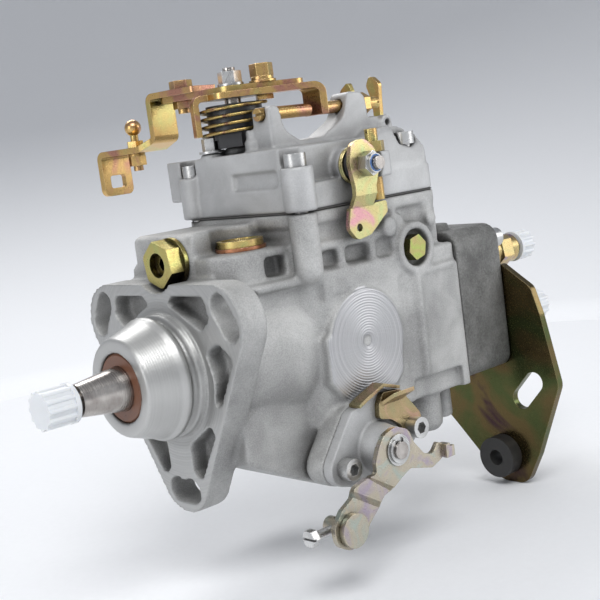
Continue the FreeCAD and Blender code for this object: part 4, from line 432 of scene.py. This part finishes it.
print("cast finishes", housing_cast.name, cover_cast.name, head_cast.name)

# %% [markdown]
# Turned and ground steel is the shaft, its nose and the bright studs. It is fully metallic, and its
# rings run across the part, so they are made from the place along the axis. An anisotropic shader
# could stretch the gloss instead, but real lines also show when the part is seen close.

# %% Bright steel finishes
# Edge colour for wear and a painted highlight, then the colour of the painted shade in hollows.
STEEL_EDGE_WEAR_AND_HIGHLIGHT = opaque((0.85, 0.85, 0.84))
STEEL_PAINTED_SHADE = opaque((0.05, 0.045, 0.04))
LINE_PITCH = 0.35 * MM
STAIN_SHARE = 0.72


def steel_finish(name, colour, roughness, along=(1.0, 0.0, 0.0), bump=0.2, stain=None):
    material, tree, shader = new_material(name, 1.0)
    point = own_place(tree)
    lines = line_noise(tree, vector_maths(tree, "DOT_PRODUCT", point, along), 1.0 / LINE_PITCH)
    blotches = ranged(tree, noise(tree, point, 120.0, 4.0), 0.35, 0.65)
    darker = stain or tuple(STAIN_SHARE * part for part in colour)
    edge = place(tree, edge_wear_and_highlight, {"Radius": 0.35 * MM, "Gain": 2.0})
    base = mixed(tree, blotches, opaque(darker), opaque(colour))
    # Edges lightened by wear and a painted highlight, then hollows darkened with painted shade.
    bright = mixed(tree, maths(tree, "MULTIPLY", edge["Mask"], 0.5), base, STEEL_EDGE_WEAR_AND_HIGHLIGHT)
    shaded = place(tree, painted_hollow_shade, {"Colour": bright, "PaintedShade": STEEL_PAINTED_SHADE, "Reach": 4 * MM,
                                       "Amount": 0.6})
    rough = ranged(tree, lines, 0.3, 0.7, roughness - 0.07, roughness + 0.09)
    dress(tree, shader, shaded["Colour"], rough, lines, edge["Normal"], bump, 0.06 * MM)
    return material


ground_steel = steel_finish("ground_steel", (0.54, 0.51, 0.48), 0.24, stain=(0.33, 0.30, 0.28))
inner_steel = steel_finish("inner_steel", (0.50, 0.50, 0.51), 0.34)
silver_zinc = steel_finish("silver_zinc", (0.66, 0.66, 0.65), 0.30, along=(0.3, 0.9, 0.3), bump=0.1)
cap_screw_zinc = steel_finish("cap_screw_zinc", (0.63, 0.63, 0.62), 0.33, along=(0.0, 0.6, 0.8), bump=0.1)
copper_ring = steel_finish("copper_ring", (0.72, 0.36, 0.20), 0.33, stain=(0.42, 0.16, 0.08), bump=0.1)
bronze_sleeve = steel_finish("bronze_sleeve", (0.50, 0.37, 0.20), 0.42, bump=0.15)
print("steel finishes ready")

# %% [markdown]
# The levers, the bracket and the unions share the chromate bloom. They differ in how dark the film
# is, how far it shifts to green or violet, and how wide its patches are.

# %% Plated finishes
# Colour of the painted shade in hollows, then the edge colour for wear and a painted highlight.
PLATED_PAINTED_SHADE = opaque((0.035, 0.025, 0.015))
PLATED_EDGE_WEAR_AND_HIGHLIGHT = (0.86, 0.74, 0.48)


def plated_finish(name, gold, green, violet, scale=38.0, shift=0.0, smoother=0.0, reach=5 * MM, amount=0.7,
                  edge_wear_and_highlight_colour=PLATED_EDGE_WEAR_AND_HIGHLIGHT):
    material, tree, shader = new_material(name, 1.0)
    film = place(tree, chromate_bloom, {"Gold": opaque(gold), "Green": opaque(green),
                                        "Violet": opaque(violet), "Scale": scale, "Shift": shift})
    edge = place(tree, edge_wear_and_highlight, {"Radius": 0.45 * MM, "Gain": 2.4})
    # Edges lightened by wear and a painted highlight, then hollows darkened with painted shade.
    rub_and_highlight = maths(tree, "MULTIPLY", edge["Mask"], 0.55)
    shaded = place(tree, painted_hollow_shade, {"Colour": mixed(tree, rub_and_highlight, film["Colour"], opaque(edge_wear_and_highlight_colour)),
                                       "PaintedShade": PLATED_PAINTED_SHADE, "Reach": reach, "Amount": amount})
    rough = maths(tree, "SUBTRACT", film["Roughness"], smoother)
    dress(tree, shader, shaded["Colour"], rough, film["Height"], edge["Normal"], 0.15, 0.08 * MM)
    return material


lever_gold = plated_finish("lever_gold", (0.62, 0.41, 0.16), (0.52, 0.46, 0.18), (0.50, 0.25, 0.18))
union_gold = plated_finish("union_gold", (0.50, 0.37, 0.17), (0.42, 0.38, 0.18), (0.30, 0.20, 0.34),
                           scale=70.0)
brown_zinc = plated_finish("brown_zinc", (0.40, 0.31, 0.17), (0.34, 0.31, 0.17), (0.60, 0.36, 0.27),
                           scale=60.0)
plug_gold = plated_finish("plug_gold", (0.66, 0.50, 0.19), (0.58, 0.53, 0.20), (0.56, 0.36, 0.18), scale=70.0)
# Strong, far-reaching painted shade in the regulating valve's hollows.
valve_gold = plated_finish("valve_gold", (0.56, 0.48, 0.17), (0.50, 0.50, 0.18), (0.48, 0.34, 0.14),
                           scale=70.0, reach=16 * MM, amount=1.5)
bolt_olive = plated_finish("bolt_olive", (0.44, 0.40, 0.16), (0.40, 0.46, 0.14), (0.42, 0.28, 0.16),
                           scale=110.0)
stop_gold = plated_finish("stop_gold", (0.58, 0.50, 0.24), (0.50, 0.55, 0.26), (0.64, 0.34, 0.36),
                          scale=55.0, shift=0.03)
pale_zinc = plated_finish("pale_zinc", (0.50, 0.45, 0.36), (0.42, 0.47, 0.42), (0.42, 0.36, 0.42), scale=70.0)
# The bracket's edge colour, far lighter than its film, is mostly a painted highlight; its wide reach spreads
# painted shade.
bracket_zinc = plated_finish("bracket_zinc", (0.150, 0.110, 0.048), (0.090, 0.110, 0.042),
                             (0.060, 0.032, 0.045), scale=22.0, smoother=0.08, reach=30 * MM, amount=0.5,
                             edge_wear_and_highlight_colour=(0.78, 0.62, 0.32))
spring_bronze = plated_finish("spring_bronze", (0.42, 0.30, 0.11), (0.28, 0.23, 0.09), (0.24, 0.13, 0.08),
                              scale=90.0)
print("plated finishes ready")

# %% [markdown]
# Rubber and plastic aren't metal: their colour is in the body of the stuff. Black rubber gets a dusty
# bloom by noise, the seal is a shiny brown, and the push-on caps let light in. For those, a little
# transmission and subsurface scatter in a milky colour do what real polythene does. Full
# transmission would look like glass.

# %% Rubber and plastic finishes
def soft_finish(name, light, dark, roughness, scale=260.0, bump=0.3):
    material, tree, shader = new_material(name, 0.0)
    speckle = noise(tree, own_place(tree), scale, 6.0, Roughness=0.7)
    edge = place(tree, edge_wear_and_highlight, {"Radius": 0.4 * MM, "Gain": 2.0})
    # Edges lightened by wear and a painted highlight, mixed with the speckle.
    share = maths(tree, "MULTIPLY_ADD", edge["Mask"], 0.5, speckle, clamp=True)
    rough = ranged(tree, speckle, 0.3, 0.7, roughness - 0.08, roughness + 0.08)
    colour = mixed(tree, share, opaque(dark), opaque(light))
    dress(tree, shader, colour, rough, speckle, edge["Normal"], bump, 0.08 * MM)
    return material


black_rubber = soft_finish("black_rubber", (0.040, 0.038, 0.036), (0.010, 0.010, 0.010), 0.50)
blue_nylon = soft_finish("blue_nylon", (0.10, 0.22, 0.50), (0.06, 0.14, 0.36), 0.36, bump=0.1)
black_plastic = soft_finish("black_plastic", (0.028, 0.028, 0.030), (0.010, 0.010, 0.011), 0.36)
brown_seal = soft_finish("brown_seal", (0.20, 0.085, 0.045), (0.11, 0.045, 0.025), 0.34, bump=0.15)
gasket_paper = soft_finish("gasket_paper", (0.11, 0.105, 0.10), (0.05, 0.05, 0.048), 0.70, scale=900.0)
milky_cap = soft_finish("milky_cap", (0.80, 0.82, 0.84), (0.70, 0.72, 0.74), 0.36, scale=120.0, bump=0.05)
milky_shader = milky_cap.node_tree.nodes["Principled BSDF"]
milky_shader.inputs["Transmission Weight"].default_value = 0.05
milky_shader.inputs["Subsurface Weight"].default_value = 0.4
milky_shader.inputs["Subsurface Radius"].default_value = (2.0 * MM, 1.8 * MM, 1.5 * MM)
milky_shader.inputs["Subsurface Scale"].default_value = 1.0
print("rubber and plastic finishes ready")

# %% [markdown]
# A casting has small forms that the CAD model leaves out: ribs, bosses, ridges and cored pockets.
# Three kinds of simple form are enough for them. Each is given in millimetres, in the pump's frame.

# %% Forms to cast on or to core out
def box_form(low, high):
    form = bmesh.new()
    bmesh.ops.create_cube(form, size=1.0)
    size = [b - a for a, b in zip(low, high)]
    middle = [(a + b) / 2 for a, b in zip(low, high)]
    for vert in form.verts:
        vert.co = [(m + c * d) * MM for m, c, d in zip(middle, vert.co, size)]
    return form


def rod_form(start, end, radius, tip=None):
    """A rod, or a cone where its tip has a radius of its own."""
    form = bmesh.new()
    start, end = Vector(start) * MM, Vector(end) * MM
    turn = (end - start).to_track_quat("Z", "Y").to_matrix().to_4x4()
    bmesh.ops.create_cone(form, cap_ends=True, segments=40, radius1=radius * MM,
                          radius2=(radius if tip is None else tip) * MM, depth=(end - start).length,
                          matrix=Matrix.Translation((start + end) / 2) @ turn)
    return form


def slab_form(outline, near, far):
    """A slab whose outline is given in X and Z, standing between two depths in Y."""
    form = bmesh.new()
    face = form.faces.new([form.verts.new((x * MM, near * MM, z * MM)) for x, z in outline])
    grown = bmesh.ops.extrude_face_region(form, geom=[face])["geom"]
    moved = [item for item in grown if isinstance(item, bmesh.types.BMVert)]
    bmesh.ops.translate(form, verts=moved, vec=(0.0, (far - near) * MM, 0.0))
    bmesh.ops.recalc_face_normals(form, faces=form.faces)
    return form


def as_mesh(form, name):
    mesh = bpy.data.meshes.new(name)
    form.to_mesh(mesh)
    form.free()
    return mesh


def join_to(whole, forms):
    for form in forms:
        mesh = as_mesh(form, "form")
        whole.from_mesh(mesh)
        bpy.data.meshes.remove(mesh)
    return whole


print("forms ready")

# %% [markdown]
# A CAD solid meets the next one in a hard line, while a casting has a small round there, because
# sand and molten metal can't hold a sharp corner. A Bevel modifier fails on edges as tangled as
# these. A voxel remesh lays an even grid of faces over a copy of the solid instead, and a few
# rounds of smoothing then soften every corner by about a millimetre. Machined places are held out
# of the smoothing with a vertex group, so they stay crisp.

# %% Softening a casting
def lay_grid(piece, name, voxel):
    grid = piece.modifiers.new(name, "REMESH")
    grid.mode = "VOXEL"
    grid.voxel_size = voxel


def apply_modifiers(piece):
    """Gives the piece the mesh that its modifiers make, and takes the modifiers off."""
    made = piece.evaluated_get(bpy.context.evaluated_depsgraph_get())
    mesh = bpy.data.meshes.new_from_object(made)
    piece.modifiers.clear()
    piece.data = mesh


def nowhere(point):
    return False


def soft_casting(name, node, material, voxel, rounds, is_machined=nowhere, raised=(), sunk=()):
    """Softens a casting; raised forms are cast on and sunk forms cored out before the grid is laid."""
    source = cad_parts[node]
    shape = bmesh.new()
    shape.from_mesh(source.data)
    bmesh.ops.remove_doubles(shape, verts=shape.verts, dist=0.001 * MM)
    piece = new_object(name, as_mesh(join_to(shape, raised), name))
    piece.data.transform(source.matrix_world)
    if sunk:
        lay_grid(piece, "merge", voxel)
        core = new_object("core", as_mesh(join_to(bmesh.new(), sunk), "core"))
        cut = piece.modifiers.new("cut", "BOOLEAN")
        cut.operation = "DIFFERENCE"
        cut.solver = "EXACT"
        cut.object = core
    lay_grid(piece, "grid", voxel)
    apply_modifiers(piece)
    if sunk:
        bpy.data.objects.remove(core)
    cast_places = piece.vertex_groups.new(name="cast")
    cast_places.add([v.index for v in piece.data.vertices if not is_machined(v.co)], 1.0, "REPLACE")
    soften = piece.modifiers.new("soften", "SMOOTH")
    soften.factor = 0.5
    soften.iterations = rounds
    soften.vertex_group = "cast"
    apply_modifiers(piece)
    piece.vertex_groups.clear()
    piece.data.materials.clear()
    piece.data.materials.append(material)
    piece.data.polygons.foreach_set("use_smooth", [True] * len(piece.data.polygons))
    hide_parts(node)
    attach(piece, "housing")
    print(name, "has", len(piece.data.polygons), "faces")


print("softening ready")

# %% [markdown]
# The housing's small forms were measured on the photograph. Raised forms start inside the wall, so
# that they grow out of it, and sunk forms start outside, so that they leave no skin behind.

# %% Small forms of the housing
IN_WALL = -38.0
OUTSIDE = -52.0
PAD_FACE = PAD_CENTRE[1] / MM
RIDGE_CORNER = (121.4, -45.2, 24.6)
pad_outline = [(55.8, 6.0), (55.8, -15.3), (62.0, -24.0), (66.5, -26.0), (97.0, -25.6), (103.5, -19.4),
               (105.0, -6.0), (100.0, 10.0), (80.0, 15.0)]
undercut_outline = [(112.0, -26.6), (146.3, -26.6), (146.3, -60.0), (112.0, -60.0)]
housing_raised = [
    # rib from the flange to the body
    rod_form((14.0, -30.0, 32.8), (54.0, -38.6, 33.6), 2.3),
    # bars and posts that frame the pockets under the cover
    box_form((57.0, -43.2, 45.0), (101.0, IN_WALL, 49.0)),
    box_form((73.4, -43.0, 33.5), (77.6, IN_WALL, 47.0)),
    box_form((94.0, -43.0, 33.5), (98.0, IN_WALL, 47.0)),
    box_form((59.0, -42.6, 33.0), (98.0, IN_WALL, 36.2)),
    # drain boss with its cone, and the foot behind it
    rod_form((130.0, -31.0, -54.5), (130.0, -31.0, -20.0), 9.0),
    rod_form((130.0, -31.0, -57.2), (130.0, -31.0, -54.4), 6.2, 9.0),
    rod_form((150.0, -25.0, -56.0), (150.0, -25.0, -20.0), 5.5),
    # lower half of the side pad, and the two ribs over it
    slab_form(pad_outline, PAD_FACE, IN_WALL),
    slab_form([(64.4, 25.0), (65.4, 29.0), (70.8, 29.8), (73.0, 25.0)], -45.4, IN_WALL),
    slab_form([(75.0, 26.0), (76.0, 31.0), (83.0, 31.8), (85.0, 26.0)], -45.4, IN_WALL),
    # ridge down the rear block and along its top
    rod_form(RIDGE_CORNER, (120.2, -45.2, -24.4), 2.2),
    rod_form(RIDGE_CORNER, (147.6, -45.2, 25.6), 1.9),
    # two round bosses beside the fulcrum bolt
    rod_form((106.4, -46.2, 49.6), (106.4, -34.0, 49.6), 4.8),
    rod_form((137.2, -45.4, 49.8), (137.2, -34.0, 49.8), 3.6),
]
housing_sunk = [
    # recess under the inlet shelf, and the blind hole before it
    box_form((37.5, OUTSIDE, 37.2), (48.6, -27.5, 46.2)),
    rod_form((26.5, -60.0, 29.6), (26.5, -31.2, 29.6), 3.6),
    # pockets under the cover
    box_form((64.0, -46.0, 37.0), (73.0, -38.4, 44.4)),
    box_form((78.4, -46.0, 37.0), (93.0, -38.4, 44.4)),
    # undercut of the rear block, and its recess beside the fulcrum bolt
    slab_form(undercut_outline, OUTSIDE, -42.6),
    slab_form([(139.0, 28.2), (146.6, 28.2), (147.2, 37.0), (142.0, 38.5)], OUTSIDE, -45.0),
    # notch above the pad, its centre dimple, and the groove behind it
    slab_form([(56.4, 22.0), (56.4, 31.0), (61.0, 31.0), (61.8, 22.0)], OUTSIDE, -40.6),
    rod_form((82.0, OUTSIDE, 0.0), (82.0, -45.4, 0.0), 3.3),
    rod_form((111.6, -50.4, -24.0), (111.6, -50.4, 26.0), 6.8),
]
print(len(housing_raised), "raised forms,", len(housing_sunk), "sunk forms")

# %% [markdown]
# The housing keeps three places crisp: what lies ahead of the flange's front face, the side pad, and
# the rim that the gasket sits on. The grid is as fine as the smallest form of each casting needs,
# since half the width of a grid cell means four times the faces.

# %% The five castings
HUB_END = 0.9 * MM
PAD_DEPTH = -46.0 * MM
PAD_REACH = 33 * MM
RIM_HEIGHT = 62.6 * MM


def housing_machined(point):
    hub = point.x < HUB_END
    pad = point.y < PAD_DEPTH and math.hypot(point.x - PAD_CENTRE[0], point.z) < PAD_REACH
    rim = point.z > RIM_HEIGHT
    return hub or pad or rim


soft_casting("housing_casting", "pump_housing", housing_cast, 0.95 * MM, 5,
             housing_machined, housing_raised, housing_sunk)
soft_casting("cover_casting", "governor_cover", cover_cast, 0.8 * MM, 4)
soft_casting("head_casting", "distributor_head", head_cast, 0.95 * MM, 4)
soft_casting("cold_cover_casting", "cold_start_cover", cover_cast, 0.5 * MM, 3)
soft_casting("timing_casting", "timing_cover", cover_cast, 0.6 * MM, 3)

# %% [markdown]
# All other CAD nodes keep their shape and get a finish. A table of finish and nodes is the plainest
# way to say which part is made of what.

# %% Finish of each remaining node
finish_of = {
    ground_steel: ["drive_shaft", "shaft_key", "throttle_shaft", "stop_shaft", "cold_start_shaft"],
    inner_steel: ["feed_pump_ring", "feed_pump_rotor", "feed_pump_plate", "governor_drive_gear",
                  "governor_axle", "flyweight_cage", "flyweights", "governor_sleeve", "governor_lever",
                  "roller_ring", "rollers", "cam_disc", "plunger", "control_collar", "timing_piston",
                  "timing_spring", "distributor_barrel", "delivery_valves"],
    bolt_olive: ["fulcrum_bolts"],
    silver_zinc: ["head_plugs", "throttle_nut", "stop_nut", "cold_start_clip", "cable_screw"],
    cap_screw_zinc: ["fixing_screws"],
    copper_ring: ["inlet_washer"],
    bronze_sleeve: ["shaft_bush"],
    lever_gold: ["throttle_lever", "throttle_strap", "cable_bracket", "strap_bolt", "adjusting_screws",
                 "ball_stud"],
    union_gold: ["valve_holders"],
    plug_gold: ["inlet_plug"],
    valve_gold: ["regulating_valve"],
    stop_gold: ["stop_lever", "stop_spring"],
    brown_zinc: ["cold_start_bracket"],
    pale_zinc: ["cold_start_lever", "cable_pin"],
    bracket_zinc: ["rear_bracket"],
    spring_bronze: ["throttle_spring"],
    black_rubber: ["stop_boot", "bracket_bush"],
    black_plastic: ["spring_guide"],
    brown_seal: ["shaft_seal"],
    gasket_paper: ["cover_gasket"],
    milky_cap: ["shaft_cap", "valve_caps"],
}
for material, names in finish_of.items():
    for name in names:
        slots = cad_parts[name].data.materials
        slots.clear()
        slots.append(material)
print("finished", sum(len(names) for names in finish_of.values()), "CAD nodes")

# %% [markdown]
# A thread is a ridge that climbs round a rod. Cutting a true profile needs a heavy mesh, while a fine
# tube drawn on a helix is light and reads as a thread from any side. The CAD rod stays inside, and
# the ridge stands a tenth of a millimetre proud of it.

# %% Wires and helices
def helix_points(start, end, radius, pitch, per_turn=14):
    axis = (end - start).normalized()
    side = axis.orthogonal().normalized()
    other = axis.cross(side)
    length = (end - start).length
    count = max(2, int(length / pitch * per_turn))
    points = []
    for i in range(count + 1):
        angle = 2 * math.pi * i / per_turn
        spoke = side * math.cos(angle) + other * math.sin(angle)
        points.append(start + axis * (length * i / count) + spoke * radius)
    return points


def round_wire(name, points, thickness, body, material, is_closed=False):
    curve = bpy.data.curves.new(name, "CURVE")
    curve.dimensions = "3D"
    spline = curve.splines.new("POLY")
    spline.points.add(len(points) - 1)
    for target, point in zip(spline.points, points):
        target.co = (*point, 1.0)
    spline.use_cyclic_u = is_closed
    curve.bevel_depth = thickness / 2
    curve.bevel_resolution = 3
    curve.use_fill_caps = True
    curve.materials.append(material)
    wire = new_object(name, curve)
    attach(wire, body)
    return wire


print("wire helpers ready")

# %% [markdown]
# Only the threads that show are drawn: on the stop limit screw, the idle and full speed screws, the
# full load screw, and the ends of three studs. The screws that pass through an ear or a nut have a
# thread on both sides of it.

# %% Threads
M6_RADIUS = 3.0
M4_RADIUS = 2.0
RIDGE_SHARE = 0.5
RIDGE_DEPTH = 0.15
housing_threads = {
    "limit_thread_top": ((100, -46.6, 91), (100, -46.6, 96)),
    "limit_thread_low": ((100, -46.6, 64), (100, -46.6, 73.6)),
    "idle_thread": ((70, -14, 109.5), (92.4, -14, 109.5)),
    "speed_thread": ((101, -14, 109.5), (112, -14, 109.5)),
    "speed_thread_end": ((132, -14, 109.5), (139.4, -14, 109.5)),
    "load_thread": ((158, 4, 78), (165.5, 4, 78)),
}


def thread(name, start, end, radius, body, material, pitch=1.0 * MM):
    points = helix_points(Vector(start) * MM, Vector(end) * MM, radius * MM - RIDGE_DEPTH * pitch, pitch)
    return round_wire(name, points, RIDGE_SHARE * pitch, body, material)


threads = []
for name, (start, end) in housing_threads.items():
    threads.append(thread(name, start, end, M6_RADIUS, "housing", lever_gold))
threads += [
    thread("throttle_thread", (69, 12, 132.6), (69, 12, 133.8), M6_RADIUS, "throttle",
           ground_steel),
    thread("stop_thread", (87.5, -60.1, 81), (87.5, -62.2, 81), M6_RADIUS, "stop",
           ground_steel),
    thread("cable_thread", (17.4, -64.7, -70.6), (26.4, -64.7, -70.6), M4_RADIUS, "cable",
           silver_zinc, 0.8 * MM),
]
print(len(threads), "threads")

# %% [markdown]
# The stop lever's nut is a self-locking one. The ring of blue nylon in its collar shows as a thin
# band round the stud, so it is a closed loop of wire, half sunk in the collar's end.

# %% Nylon ring in the stop lever's nut
NUT_END = Vector((87.5, -59.9, 81.0)) * MM
NYLON_RADIUS = 3.6 * MM
NYLON_THICKNESS = 0.8 * MM


def ring_points(centre, radius, count=32):
    points = []
    for i in range(count):
        angle = 2 * math.pi * i / count
        points.append(centre + Vector((math.cos(angle), 0.0, math.sin(angle))) * radius)
    return points


nylon_points = ring_points(NUT_END, NYLON_RADIUS)
round_wire("stop_nut_nylon", nylon_points, NYLON_THICKNESS, "stop", blue_nylon, is_closed=True)
print("nylon ring of", len(nylon_points), "points")

# %% [markdown]
# The floor and the wall behind are one bowl, so no view shows a corner or a horizon. It is a line
# turned round the vertical: flat under the pump, then a wide curve, then a low wall.

# %% Pale floor
FLOOR_Z = cad_box[0][2] - 0.3 * MM
FLOOR_RADIUS = 0.55
CURVE_RADIUS = 2.4
WALL_TOP = 2.8
CURVE_STEPS = 32
BOWL_SIDES = 96


def floor_bowl():
    profile = [(FLOOR_RADIUS, 0.0)]
    for i in range(1, CURVE_STEPS + 1):
        angle = math.pi / 2 * i / CURVE_STEPS
        profile.append((FLOOR_RADIUS + CURVE_RADIUS * math.sin(angle), CURVE_RADIUS * (1 - math.cos(angle))))
    profile.append((FLOOR_RADIUS + CURVE_RADIUS, WALL_TOP))
    bowl = bmesh.new()
    rings = []
    for radius, height in profile:
        ring = []
        for i in range(BOWL_SIDES):
            angle = 2 * math.pi * i / BOWL_SIDES
            across = radius * math.cos(angle) + VIEW_TARGET.x
            ring.append(bowl.verts.new((across, radius * math.sin(angle), FLOOR_Z + height)))
        rings.append(ring)
    bowl.faces.new(rings[0])
    for low, high in zip(rings, rings[1:]):
        for i in range(BOWL_SIDES):
            bowl.faces.new((low[i - 1], low[i], high[i], high[i - 1])).smooth = True
    return new_object("floor_bowl", as_mesh(bowl, "floor_bowl"))


floor = floor_bowl()
pale_floor, floor_tree, floor_shader = new_material("pale_floor", 0.0)
floor_shader.inputs["Roughness"].default_value = 0.75
paper = noise(floor_tree, own_place(floor_tree), 400.0, 3.0)
tone = mixed(floor_tree, paper, opaque((0.84, 0.85, 0.87)), opaque((0.88, 0.89, 0.91)))
floor_tree.links.new(tone, floor_shader.inputs["Base Color"])
floor.data.materials.append(pale_floor)
print("floor at", round(FLOOR_Z, 4))

# %% [markdown]
# A product photographer lights metal with large soft boxes, because metal shows what it faces. One
# big box high on the left gives the shape, a weaker one on the right opens the shadows, a small one
# ahead lights the nose, and one behind draws a bright line along the top edges. A pale sky fills
# what is left.

# %% Soft boxes and sky
SKY_STRENGTH = 0.34


def soft_box(name, place_at, size, power):
    light = bpy.data.lights.new(name, "AREA")
    light.shape = "RECTANGLE"
    light.size, light.size_y = size
    light.energy = power
    lamp = new_object(name, light)
    lamp.location = place_at
    lamp.rotation_euler = (VIEW_TARGET - Vector(place_at)).to_track_quat("-Z", "Y").to_euler()
    return lamp


lamps = [
    soft_box("key_box", (-0.35, -0.65, 1.05), (0.8, 0.6), 9.5),
    soft_box("fill_box", (0.85, -0.85, 0.35), (0.8, 0.5), 4.0),
    soft_box("nose_box", (-1.1, 0.0, 0.35), (0.5, 0.5), 3.2),
    soft_box("rim_box", (0.4, 0.85, 0.95), (0.9, 0.4), 8.0),
]
sky = bpy.data.worlds.new("sky")
sky.use_nodes = True
bpy.context.scene.world = sky
background = sky.node_tree.nodes["Background"]
background.inputs["Color"].default_value = opaque((0.86, 0.89, 0.95))
background.inputs["Strength"].default_value = SKY_STRENGTH
bpy.context.scene.view_settings.view_transform = "Standard"
print(len(lamps), "soft boxes")

# %% [markdown]
# The threads are curves, and a curve has no size before the scene is brought up to date, so the
# scene is brought up to date last.

# %% Bringing the scene up to date
bpy.context.view_layer.update()
